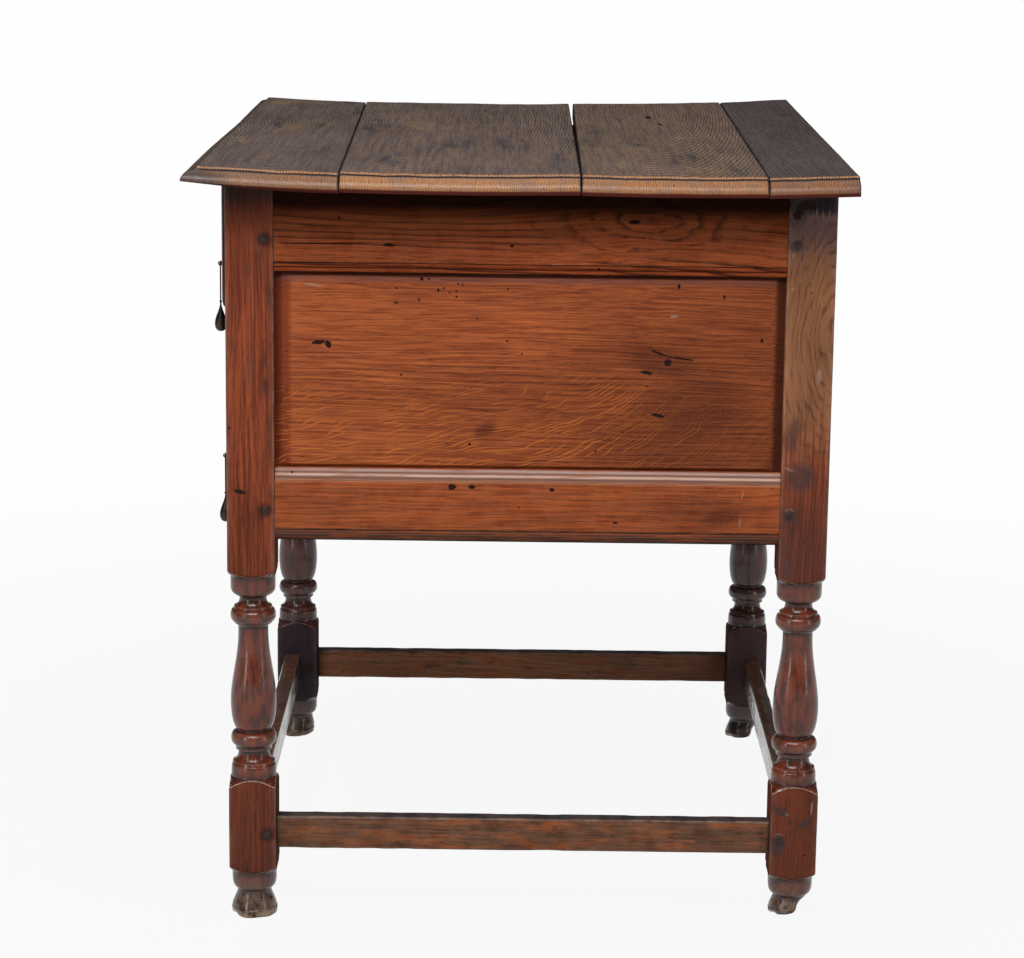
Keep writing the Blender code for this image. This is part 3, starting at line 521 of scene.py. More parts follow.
@dataclass
class Oak:
    """What a board of oak looks like; places on it are (along the grain, across the face) in row metres."""
    name: str
    axes: str  # row axes along the grain, across the face and into it
    pale: tuple  # late wood
    ground: tuple  # the mean colour
    line: tuple  # early wood, which dirt darkens
    pore: tuple  # open pores, and dirt and painted shade
    worn: tuple  # rubbed edges
    ring: float = 0.004  # width of a growth ring
    pith: tuple = (0.0, 0.4, 0.2)  # a point on the tree's middle: along, across, into
    lean: float = 0.0  # how far the tree comes out of the face for each metre along
    sway: float = 0.004  # how far the rings wander
    fibres: tuple = (11.0, 330.0)  # waves in a metre along and across the fibres
    crisp: float = 0.165  # half the noise range over which fibres go from dark to light
    bold: tuple = (0.30, 0.65)  # noise levels between which rings get dark
    line_share: float = 0.6
    fleck: float = 0.0  # strength of the light ray flecks
    fleck_tone: tuple = (205, 124, 58)
    fleck_zone: tuple = (10.0, 9.0)  # across places between which they fade in
    fleck_curl: tuple = (0.10, 0.9)  # their slope, and how fast it grows along the board
    fleck_reach: tuple = (10.0, 11.0)  # along places between which they fade out
    blotch: float = 0.3
    cast: tuple = (0.0, 0.0, 1.0)  # brightness for each metre along and across, and at nought
    zones: tuple = ()  # (along where it starts, along where it is full, colour, share)
    # grime_and_shade: grime together with painted shade from an overhang, by height on the face
    grime_and_shade: tuple = ()  # (across where it starts, across where it is full, share)
    bands: tuple = ()  # (across, half height, colour, share)
    patches: tuple = ()  # (colour, noise where it starts, where it is full, waves in a metre)
    eyes: tuple = ()  # (along, across, reach, squash, ring, share)
    scars: tuple = ()  # (along, across, half length, half height, angle)
    pale_scars: tuple = ()
    stains: tuple = ()  # (along, across, half length, half height, angle, share), soft-edged
    stain_tone: tuple = None  # the pores' colour when not given
    holes: float = 0.0  # share of the worm holes' cells that have one
    ends: tuple = ()  # (along where the dirt and painted shade of a board's end start, where they are full)
    turned: tuple = None  # light and dark colour of turned parts
    shade: tuple = (37, 37, 44)  # colour of painted shade on an inner side
    foot: tuple = ()  # (height where it starts, where it is full, light, dark, share)
    nose: tuple = None  # colour of a moulded edge
    skirt: tuple = (66, 31, 19)  # colour below a moulded edge
    dust_and_sheen: float = 0.15  # greyness of surfaces that face up: dust with a painted sheen
    dust_and_sheen_tone: tuple = (176, 164, 160)
    rough: float = 0.40
    shine: float = 0.3


class OakGraph(Graph):
    """Nodes of one kind of oak: growth rings, pores and ray flecks, then wear and old damage over them."""

    def __init__(self, kind):
        super().__init__(kind.name)
        self.kind = kind
        texture = self.add("ShaderNodeTexCoord").outputs
        self.normal = texture["Normal"]
        row = self.parts(texture["Object"])
        self.face = self.join(*(row["XYZ".index(axis)] for axis in kind.axes))
        number = self.add("ShaderNodeObjectInfo").outputs["Object Index"]
        drift = self.join(*(self.times(number, step) for step in GRAIN_DRIFT))
        self.grain = self.vector("ADD", self.face, drift)
        self.along, self.across = self.parts(self.grain)[:2]
        self.at_along, self.at_across = self.parts(self.face)[:2]
        self.blotch = self.centred(self.noise(self.grain, BLOTCHES, 3.0, 0.6))
        self.draw_rings()
        self.draw_fibres()
        self.height = self.times(self.pores, -0.7)
        if kind.fleck:
            self.draw_flecks()
        self.paint(self.times(self.pores, PORE_SHARE), kind.pore)
        if kind.turned:
            self.draw_turning()
        if kind.nose:
            self.draw_nosing()
        self.draw_wear()
        self.draw_damage()

    def paint(self, share, colour):
        """Lay a display colour, or the colour of another node, over the wood."""
        self.colour = self.mix(share, self.colour, tone(*colour) if isinstance(colour, tuple) else colour)

    def spot(self, along, across, half_length, half_height, angle):
        """Distance from an ellipse's middle on the face, which is 1 on its rim."""
        shifted = self.vector("SUBTRACT", self.face, (along, across, 0.0))
        inputs = {"Vector": shifted, "Angle": -angle}
        turned = self.add("ShaderNodeVectorRotate", inputs, rotation_type="Z_AXIS").outputs[0]
        return self.length(self.vector("MULTIPLY", turned, (1 / half_length, 1 / half_height, 0.0)))

    def draw_rings(self):
        """Rings about a leaning pith, swayed by slow and quick noise, and eyes where branches grew."""
        kind = self.kind
        slow = self.shake(self.grain, SLOW_SWAY, 1.0, 0.4)
        quick = self.shake(self.grain, QUICK_SWAY, 1.0, 0.5)
        swayed = self.move(self.grain, slow, (0, 4 * kind.sway, 4 * kind.sway))
        self.swayed = self.move(swayed, quick, (0, 0.7 * kind.ring, 0.7 * kind.ring))
        rise = self.vector("MULTIPLY", self.math("SUBTRACT", self.along, kind.pith[0]), (0, 0, kind.lean))
        about_pith = self.vector("SUBTRACT", self.vector("ADD", self.swayed, rise), (0, *kind.pith[1:]))
        unlike = self.span(self.noise(self.swayed, RING_CHANGES, 1.0), *kind.bold, 0.2, 1.0)
        self.line = self.times(self.rings(about_pith, kind.ring, "X"), unlike)
        for place, side, reach, squash, ring, share in kind.eyes:
            bent = self.move(self.move(self.face, slow, (0.05, 0.03, 0)), quick, (0.03, 0.016, 0))
            from_eye = self.vector("SUBTRACT", bent, (place, side, 0))
            round_eye = self.vector("MULTIPLY", from_eye, (squash, 1, 0))
            near = self.span(self.length(round_eye), reach, 0.35 * reach)
            broken = self.span(self.noise(bent, EYE_BREAKS, 3.0, 0.6), 0.34, 0.58, 0.0, share)
            waves = self.times(self.rings(round_eye, ring, "Z"), broken)
            self.line = self.add("ShaderNodeMix", {0: near, 2: self.line, 3: waves}).outputs[0]

    def draw_fibres(self):
        """Pores, fibres and slow changes of colour."""
        kind = self.kind
        pores = self.span(self.noise(self.swayed, PORES, 1.0), 0.54, 0.66)
        self.pores = self.times(pores, self.scale(self.line, 0.7, 0.3))
        self.fibre = self.noise(self.swayed, (*kind.fibres, kind.fibres[1]), 3.0, 0.65)
        late = self.span(self.fibre, 0.5 - kind.crisp, 0.5 + kind.crisp)
        self.colour = self.mix(late, tone(*kind.ground), tone(*kind.pale))
        for patch_tone, start, full, waves in kind.patches:
            spread = self.noise(self.grain, waves, 4.0, 0.65)
            self.paint(self.span(spread, start, full, 0.0, 0.85), patch_tone)
        for start, full, zone_tone, share in kind.zones:
            unsure = self.scale(self.centred(self.fibre), 1.4 * (full - start), self.at_along)
            self.paint(self.span(unsure, start, full, 0.0, share), zone_tone)
        self.paint(self.times(self.line, kind.line_share), kind.line)
        shade = self.scale(self.blotch, 2 * kind.blotch, kind.cast[2])
        shade = self.scale(self.along, kind.cast[0], shade)
        shade = self.scale(self.across, kind.cast[1], shade)
        self.colour = self.mix(1.0, self.colour, self.join(shade, shade, shade), "MULTIPLY")

    def draw_flecks(self):
        """Ray flecks: short light dashes that cross the grain at a low angle and curl up along the board."""
        kind = self.kind
        slope, growth = kind.fleck_curl
        forward = self.math("MAXIMUM", self.along, 0.0)
        curl = self.scale(self.times(forward, forward), -growth, self.times(self.along, -slope))
        wander = self.shake(self.grain, RAY_WANDER, 2.0, 0.5)
        rays = self.move(self.move(self.grain, wander, (0, 0.03, 0)), curl, (0, 1, 0))
        dashes = self.span(self.noise(rays, RAY_DASHES, 1.0), 0.46, 0.6)
        zone = self.span(self.scale(self.blotch, 0.1, self.across), *kind.fleck_zone)
        flecks = self.times(self.times(self.span(self.bands(rays, RAY_GAP), 0.66, 0.96), dashes), zone)
        flecks = self.times(flecks, self.span(self.along, *kind.fleck_reach, 1.0, 0.4))
        self.paint(self.times(flecks, kind.fleck), kind.fleck_tone)
        self.height = self.scale(flecks, 0.15, self.height)

    def draw_turning(self):
        """Turned parts, their light rims, painted shade on inner sides, and scuffed feet."""
        kind = self.kind
        light, dark = kind.turned
        mottle = self.span(self.noise(self.grain, LATHE_MOTTLE, 4.0, 0.6), 0.38, 0.64)
        self.paint(self.times(self.mark("turned"), 0.8), self.mix(mottle, tone(*light), tone(*dark)))
        rim = self.span(self.apart(self.mark("gap"), 0.1), 0.5, 0.1)
        self.paint(self.times(rim, 0.8), kind.worn)
        # Painted shade on the inner sides of the far legs
        self.paint(self.mark("shade"), kind.shade)
        spread = self.span(self.noise(self.grain, FOOT_MOTTLE, 4.0, 0.65), 0.36, 0.6)
        for start, full, light, dark, share in kind.foot:
            mottled = self.mix(spread, tone(*dark), tone(*light))
            self.paint(self.span(self.at_along, start, full, 0.0, share), mottled)

    def draw_nosing(self):
        """A moulded edge, from the face down: rubbed arris, quirk darkened with painted shade, hatched ovolo
        and skirt.
        """
        kind = self.kind
        edge = self.mark("edge")
        shaken = self.move(self.grain, self.shake(self.grain, HATCH_SHAKE, 2.0, 0.6), (0, 0.007, 0))
        hatch = self.span(self.bands(shaken, HATCH_GAP), 0.3, 0.85)
        streak = self.times(hatch, self.span(self.fibre, 0.3, 0.6, 0.35, 1.0))
        stained = self.span(self.noise(self.grain, EDGE_STAINS, 3.0, 0.6), 0.45, 0.7, 0.0, 0.45)
        dark = tone(*(0.5 * part for part in kind.nose))
        ovolo = self.mix(self.times(streak, 0.75), tone(*kind.nose), dark)
        ovolo = self.mix(stained, ovolo, tone(*kind.ground))
        rubbed = self.span(streak, 0.8, 0.1, 0.1, 0.85)
        self.paint(self.times(self.span(edge, *ARRIS_FADE), rubbed), kind.worn)
        # The quirk below the arris is darkened with painted shade
        self.paint(self.span(edge, *QUIRK_FADE), QUIRK_SHADE)
        self.paint(self.span(edge, *OVOLO_FADE), ovolo)
        self.paint(self.span(edge, *SKIRT_FADE), kind.skirt)

    def draw_wear(self):
        """Dust with a painted sheen on faces that look up, lines along mouldings that are mostly painted
        highlights and shade, rubbed edges, grime with painted shade, and dirt with painted shade in hollows.
        """
        kind = self.kind
        # Dust together with a painted sheen that greys surfaces facing up
        if kind.dust_and_sheen:
            up = self.parts(self.normal)["Z"]
            self.paint(self.span(up, 0.1, 0.8, 0.0, kind.dust_and_sheen), kind.dust_and_sheen_tone)
        unsure = self.scale(self.blotch, 0.0016, self.at_across)
        broken = self.span(self.noise(self.grain, BAND_BREAKS, 3.0, 0.6), 0.3, 0.55, 0.45, 1.0)
        for middle, half_height, band_tone, share in kind.bands:
            held = self.span(self.apart(unsure, middle), half_height, 0.3 * half_height, 0.0, share)
            self.paint(self.times(held, broken), band_tone)
        patchy = self.span(self.noise(self.grain, RUBBING, 3.0, 0.6), 0.35, 0.6)
        self.paint(self.times(self.mark("wear"), self.scale(patchy, 0.7, 0.3)), kind.worn)
        # Grime together with painted shade under the overhang of the top
        for start, full, share in kind.grime_and_shade:
            self.paint(self.span(self.at_across, start, full, 0.0, share), GRIME_AND_SHADE)
        # Dirt together with painted shade in hollows, quirks, joints and gaps
        self.paint(self.times(self.mark("dirt"), 0.85), kind.pore)

    def draw_damage(self):
        """Scars and stains with ragged rims, worm holes, and dirt with painted shade at a board's ends."""
        kind = self.kind
        ragged = self.scale(self.noise(self.grain, RAGGED_RIMS, 2.0), 0.9, -0.45)
        for scar in kind.pale_scars:
            reach = self.math("ADD", self.spot(*scar), ragged)
            self.paint(self.span(reach, 1.1, 0.5, 0.0, 0.6), PALE_SCAR)
        for *stain, share in kind.stains:
            reach = self.scale(ragged, 0.8, self.spot(*stain))
            self.paint(self.span(reach, 1.2, 0.4, 0.0, share), kind.stain_tone or kind.pore)
        self.damage = 0.0
        for scar in kind.scars:
            reach = self.math("ADD", self.spot(*scar), ragged)
            self.damage = self.math("MAXIMUM", self.damage, self.span(reach, 1.05, 0.7))
        if kind.holes:
            inputs = {"Vector": self.face, "Scale": HOLE_CELLS}
            cells = self.add("ShaderNodeTexVoronoi", inputs, voronoi_dimensions="2D").outputs
            chosen = self.add("ShaderNodeSeparateColor", {0: cells["Color"]}).outputs
            inside = self.math("LESS_THAN", cells["Distance"], self.scale(chosen[1], 0.035, 0.022))
            hole = self.times(inside, self.math("LESS_THAN", chosen[0], kind.holes))
            self.damage = self.math("MAXIMUM", self.damage, hole)
        self.paint(self.damage, SCAR)
        # Near-black at the drawer front's ends: dirt together with painted shade
        if kind.ends:
            self.paint(self.span(self.math("ABSOLUTE", self.at_along), *kind.ends, 0.0, 0.97), END_DIRT_AND_SHADE)

    def finished(self):
        """The material, with relief and roughness from what was drawn."""
        uneven = self.noise(self.grain, PLANING, 3.0, 0.55)
        height = self.height
        for value, depth in ((self.line, -0.25), (self.damage, -3.0), (self.fibre, 0.3), (uneven, 0.8)):
            height = self.scale(value, depth, height)
        rough = self.scale(self.centred(uneven), 0.25, self.kind.rough)
        rough = self.scale(self.pores, 0.2, rough)
        rough = self.scale(self.damage, 0.4, rough)
        rough = self.math("ADD", self.mark("matte"), rough, clamp=True)
        self.shader.inputs["Specular IOR Level"].default_value = self.kind.shine
        return self.finish(self.colour, rough, height, OAK_DEPTH)


def oak(kind, **changes):
    """Material of a kind of oak, with some changes to it."""
    return OakGraph(replace(kind, **changes)).finished()


# Kinds of wood

DARK = (24, 11, 8)
CASE = Oak(
    "case_oak_end", "YZX", pale=(160, 84, 46), ground=(116, 55, 31), line=(82, 40, 26), pore=(56, 27, 19),
    worn=(170, 108, 74), ring=0.0042, pith=(0.0, 0.1, 0.25), shine=0.1, dust_and_sheen=0.0)
PANEL_DOTS = ((-0.059, 0.624), (-0.0549, 0.623), (-0.0772, 0.6168), (-0.0721, 0.6199), (-0.067, 0.6158),
              (-0.0605, 0.6168), (-0.0605, 0.6117), (-0.1164, 0.6195), (-0.041, 0.5916), (-0.0126, 0.6195),
              (-0.0126, 0.5706))
PANEL_WOOD = replace(
    CASE, name="case_oak_panel", pale=(165, 88, 48), ground=(116, 55, 32), ring=0.0046,
    pith=(0.0, 1.1, 0.0), lean=-0.03, bold=(0.42, 0.66), line_share=0.45, sway=0.006, fleck=0.8,
    fleck_zone=(0.555, 0.48), holes=0.07, fleck_tone=(186, 104, 44), fleck_curl=(0.24, 1.5),
    # cast paints a gradient, partly the panel's own tone and partly painted light and shade: brighter towards
    # the front and the top, darker towards the back and the bottom
    fleck_reach=(0.06, 0.2), fibres=(13, 760), crisp=0.18, cast=(-0.7, 0.95, 0.38), blotch=0.42,
    # The darker red band along the bevel next to the front leg is painted shade
    zones=((-0.213, -0.219, (104, 40, 18), 0.75),), bands=((0.63, 0.008, (92, 70, 72), 0.4),),
    stains=((0.13, 0.553, 0.04, 0.016, -0.2, 0.4), (0.165, 0.512, 0.06, 0.03, 0.0, 0.3),
            (-0.0325, 0.486, 0.013, 0.008, 0.5, 0.55), (0.165, 0.47, 0.1, 0.05, 0.0, 0.32)),
    scars=((-0.189, 0.5672, 0.007, 0.0022, 0.05), (-0.18, 0.5655, 0.003, 0.0045, 0.45),
           (0.129, 0.561, 0.0095, 0.0012, -0.35), (0.15, 0.556, 0.014, 0.001, -0.14),
           (0.138, 0.552, 0.004, 0.0036, 0.3), (0.1185, 0.5422, 0.0065, 0.002, -0.18),
           (0.1297, 0.5014, 0.007, 0.0018, -0.2), (-0.0929, 0.6283, 0.002, 0.0018, 0.0),
           (-0.086, 0.6285, 0.0011, 0.0012, 0.0), (-0.0776, 0.6182, 0.0012, 0.0014, 0.0),
           (-0.0953, 0.6085, 0.0011, 0.0018, 0.0), (-0.1117, 0.5375, 0.0013, 0.0012, 0.0),
           (0.1465, 0.6237, 0.0016, 0.0026, 0.0), (0.1891, 0.6144, 0.0013, 0.0022, 0.0),
           (0.2252, 0.5738, 0.0014, 0.0024, 0.0), (-0.1167, 0.6055, 0.0022, 0.001, 0.0),
           *((y, z, 0.001, 0.0011, 0.0) for y, z in PANEL_DOTS)),
    pale_scars=((0.143, 0.5958, 0.0045, 0.0018, 0.1), (-0.193, 0.6215, 0.012, 0.0014, -0.12)))
TOP_RAIL_WOOD = replace(
    CASE, name="case_oak_top_rail", pale=(164, 80, 42), ground=(124, 57, 30), line=(50, 23, 16),
    ring=0.0085, pith=(0.0, 0.58, 0.26), lean=0.05, sway=0.018, line_share=1.0, bold=(0.38, 0.55),
    # Its top darkens to near-black: grime together with painted shade under the top's overhang
    holes=0.04, shine=0.03, grime_and_shade=((0.677, 0.699, 0.955),), blotch=0.45, fibres=(14, 480), crisp=0.13,
    # Dark lines in the reeds' quirks and a darker band over the reeds: painted shade
    bands=((0.6433, 0.001, DARK, 0.9), (0.6385, 0.0008, DARK, 0.85), (0.634, 0.0012, DARK, 0.9),
           (0.6388, 0.0058, (84, 36, 20), 0.4)), eyes=((0.104, 0.6845, 0.046, 0.35, 0.0085, 1.2),),
    scars=((0.104, 0.6845, 0.006, 0.0022, 0.0), (-0.1232, 0.6603, 0.006, 0.0018, 0.0),
           (-0.18, 0.6612, 0.05, 0.0007, 0.02), (-0.1695, 0.6848, 0.0014, 0.0016, 0.0),
           (-0.0093, 0.6607, 0.002, 0.0016, 0.0)), pale_scars=((0.0327, 0.644, 0.006, 0.001, 0.0),))
SLOPE_HIGHLIGHT = (158, 138, 130)
BOTTOM_RAIL_WOOD = replace(
    CASE, name="case_oak_bottom_rail", ground=(110, 48, 24), pale=(156, 76, 36), ring=0.0036,
    pith=(0.0, 1.2, 0.1), lean=0.03, bold=(0.45, 0.65), line_share=0.45, holes=0.03, fibres=(15, 560),
    crisp=0.13,
    # Grey and pale lines on the moulded slope are painted highlights and reflection, the dark lines between
    # them and about the lower bead painted shade, and the light line on the bead a painted highlight
    bands=((0.442, 0.0068, (150, 112, 96), 0.8), (0.4465, 0.0016, SLOPE_HIGHLIGHT, 0.8),
           (0.4442, 0.001, (92, 68, 62), 0.8), (0.4418, 0.0016, (198, 166, 150), 0.8),
           (0.4393, 0.0014, (100, 80, 74), 0.85), (0.4366, 0.0011, (190, 146, 116), 0.7),
           (0.3846, 0.0042, (58, 42, 36), 1.0), (0.3893, 0.0018, DARK, 1.0),
           (0.3852, 0.0008, (112, 70, 48), 0.7), (0.3806, 0.0012, DARK, 1.0)),
    scars=((-0.063, 0.4317, 0.0042, 0.0034, 0.0), (-0.0442, 0.432, 0.0036, 0.0022, 0.0),
           (0.031, 0.43, 0.0026, 0.002, 0.0), (0.0911, 0.3989, 0.003, 0.001, 0.0)),
    stains=((0.175, 0.411, 0.06, 0.018, 0.0, 0.35), (0.19, 0.404, 0.02, 0.01, 0.3, 0.4)),
    pale_scars=((0.2089, 0.4009, 0.0014, 0.0055, 0.0), (0.2108, 0.4274, 0.001, 0.0045, -0.2)))
LONG_CASE = replace(
    CASE, name="case_oak_long", axes="XZY", pith=(0.0, 0.1, 0.1), lean=0.04, fleck=0.4,
    fleck_zone=(0.3, 0.31), bold=(0.4, 0.65))
LEG_WOOD = Oak(
    "leg_oak", "ZYX", pale=(132, 63, 37), ground=(92, 43, 27), line=(62, 30, 21), pore=(34, 19, 15),
    worn=(206, 180, 162), ring=0.003, pith=(0.45, -0.33, 0.22), lean=0.05, sway=0.006, bold=(0.4, 0.65),
    line_share=0.25, turned=((112, 49, 27), (52, 26, 19)), rough=0.3, shine=0.11, blotch=0.5, dust_and_sheen=0.0,
    holes=0.03, fibres=(12, 420), crisp=0.14,
    patches=(((66, 36, 30), 0.54, 0.72, (14, 40, 40)), ((92, 66, 60), 0.54, 0.74, (26, 48, 48))),
    # Painted light and shade by height: lighter high on the case block against the overhang's shadow,
    # near-black just under the top, darker towards the floor
    zones=((0.6, 0.69, (158, 78, 50), 0.6), (0.672, 0.71, (24, 9, 5), 0.93),
           (0.34, 0.1, (80, 44, 36), 0.5)),
    foot=((0.05, 0.034, (112, 74, 54), (54, 38, 32), 0.6), (0.03, 0.022, (108, 88, 75), (46, 33, 27), 0.9),
          (0.009, 0.003, (160, 134, 104), (72, 56, 46), 0.7)),
    scars=((0.4247, -0.2627, 0.0025, 0.006, 0.2), (0.486, -0.2726, 0.0016, 0.0014, 0.0)))
WORN_LEG_WOOD = replace(
    LEG_WOOD, name="leg_oak_worn", pith=(0.45, 0.36, 0.24), blotch=0.7, holes=0.06, line_share=0.6,
    stain_tone=(60, 49, 49),
    zones=((0.43, 0.53, (142, 98, 68), 0.75), (0.635, 0.69, (116, 92, 92), 0.8),
           (0.69, 0.698, (15, 14, 19), 0.97), (0.46, 0.38, (72, 46, 42), 0.55),
           (0.34, 0.1, (104, 48, 28), 0.5)), eyes=((0.578, 0.3, 0.1, 0.5, 0.0066, 1.0),),
    scars=((0.697, 0.256, 0.011, 0.0046, 0.3), (0.703, 0.264, 0.005, 0.01, 0.0),
           (0.694, 0.253, 0.004, 0.0016, 0.9), (0.706, 0.274, 0.005, 0.0012, 0.1),
           (0.707, 0.28, 0.006, 0.001, -0.1)),
    stains=((0.698, 0.257, 0.022, 0.01, 0.3, 0.7), (0.445, 0.264, 0.016, 0.016, 0.4, 0.7),
            (0.485, 0.256, 0.02, 0.008, 0.2, 0.6), (0.116, 0.256, 0.005, 0.01, 0.5, 0.8),
            (0.104, 0.279, 0.004, 0.008, -0.5, 0.85), (0.105, 0.266, 0.003, 0.003, 0.5, 0.8),
            (0.08, 0.254, 0.012, 0.008, 0.0, 0.7)),
    pale_scars=((0.5422, 0.279, 0.008, 0.0026, 0.0), (0.4522, 0.2547, 0.002, 0.006, 0.3),
                (0.687, 0.252, 0.002, 0.0016, 0.3), (0.669, 0.25, 0.0016, 0.0014, 0.0),
                (0.656, 0.252, 0.003, 0.0012, 0.4), (0.624, 0.252, 0.0018, 0.0014, 0.0),
                (0.12, 0.286, 0.008, 0.0014, 0.1), (0.113, 0.262, 0.0024, 0.003, 0.6),
                (0.695, 0.272, 0.005, 0.0008, 0.1), (0.693, 0.278, 0.006, 0.0007, -0.1),
                (0.694, 0.284, 0.0055, 0.0009, 0.05), (0.686, 0.2575, 0.0035, 0.0008, 0.3)))
STRETCHER_END = replace(
    LEG_WOOD, name="leg_oak_end_stretcher", axes="YZX", pale=(104, 64, 42), ground=(70, 44, 31),
    line=(48, 31, 24), worn=(150, 120, 102), pith=(0.0, 0.5, 0.2), turned=None, foot=(), rough=0.34,
    # Its top faces take a navy-grey painted sheen, with dust
    blotch=0.7, scars=(), dust_and_sheen=0.95, dust_and_sheen_tone=(34, 37, 46),
    zones=((MIDDLE_Y - END_SPAN / 2 + 0.003, MIDDLE_Y - END_SPAN / 2 + 0.0008, (14, 12, 14), 0.95),
           (MIDDLE_Y + END_SPAN / 2 - 0.003, MIDDLE_Y + END_SPAN / 2 - 0.0008, (14, 12, 14), 0.95)),
    patches=(((138, 74, 36), 0.48, 0.64, (24, 90, 90)), ((86, 70, 62), 0.57, 0.7, (16, 60, 90)),
             ((58, 38, 30), 0.58, 0.7, (40, 90, 60))))
# A lighter copy of the end stretcher's oak: painted light on the far stretcher, which stands in the case's
# shade
STRETCHER_FAR_LIT = replace(
    STRETCHER_END, name="leg_oak_far_stretcher", pale=(150, 98, 68), ground=(112, 72, 50))
STRETCHER_LONG = replace(
    STRETCHER_END, name="leg_oak_long_stretcher", axes="XZY", pith=(0.0, 0.5, 0.1), shine=0.9, rough=0.16,
    zones=(), dust_and_sheen=0.0)
# The boards' grey and bluish tones are partly a painted reflection, in place of shine on their faces
TOP_WOOD = Oak(
    "top_oak_front", "XYZ", pale=(119, 99, 86), ground=(91, 79, 78), line=(24, 24, 36), pore=(24, 22, 27),
    worn=(190, 134, 86), ring=0.0031, pith=(-0.05, -0.235, 0.722), lean=0.22, sway=0.0034, line_share=0.74,
    patches=(((134, 110, 80), 0.55, 0.74, (8, 24, 24)), ((56, 54, 62), 0.55, 0.74, (6, 34, 34))),
    bold=(0.05, 0.35), nose=(134, 90, 58), skirt=(78, 24, 8), rough=0.62, shine=0.12, blotch=0.4, dust_and_sheen=0.0,
    stains=((0.3925, -0.3, 0.014, 0.04, 0.0, 0.7),))
TOP_SECOND = replace(
    TOP_WOOD, name="top_oak_second", stains=(), pith=(-0.12, -0.105, 0.72), nose=(160, 108, 64),
    pale=(126, 102, 85))
TOP_THIRD = replace(
    TOP_WOOD, name="top_oak_third", stains=(), pith=(-0.2, 0.125, 0.716), lean=0.16, nose=(156, 103, 60),
    pale=(128, 103, 83), ground=(97, 82, 73),
    scars=((-0.203, 0.1376, 0.02, 0.0035, 0.0), (-0.12, 0.147, 0.016, 0.0022, 0.1)))
TOP_BACK = replace(
    TOP_WOOD, name="top_oak_back", stains=(), pith=(0.0, 0.62, 0.45), lean=0.04, line_share=0.5,
    nose=(132, 85, 52), pale=(92, 78, 74), ground=(76, 66, 65),
    patches=(((66, 54, 52), 0.55, 0.74, (8, 24, 24)),))
INNER_X = Oak(
    "inner_oak_x", "XZY", pale=(172, 138, 100), ground=(146, 112, 78), line=(112, 82, 56),
    pore=(70, 50, 36), worn=(190, 158, 120), ring=0.005, pith=(0.0, 0.2, 0.05), rough=0.68, shine=0.25)
INNER_Y = replace(INNER_X, name="inner_oak_y", axes="YZX")
RUNNER_WOOD = replace(
    INNER_Y, name="inner_oak_runner", pale=(84, 62, 46), ground=(62, 45, 34), line=(44, 32, 25))
PEG_WOOD = Oak(
    "peg_oak", "XYZ", pale=(62, 34, 28), ground=(36, 21, 21), line=(28, 20, 22), pore=(12, 9, 11),
    worn=(120, 86, 74), ring=0.0016, rough=0.4, dust_and_sheen=0.0)


def brass():
    """Drops and staples: brass darkened by age, a little brighter where hands rub it."""
    g = Graph("drop_brass")
    place = g.add("ShaderNodeTexCoord").outputs["Object"]
    cloud = g.noise(place, (160, 160, 160), 3.0, 0.6)
    fine = g.noise(place, (900, 900, 900), 2.0, 0.6)
    colour = g.mix(g.span(cloud, 0.35, 0.7), tone(35, 32, 31), tone(62, 54, 46))
    colour = g.mix(g.mark("wear"), colour, tone(98, 86, 68))
    g.shader.inputs["Metallic"].default_value = 1.0
    return g.finish(colour, g.scale(cloud, 0.3, 0.28), fine, BRASS_DEPTH)


# Legs

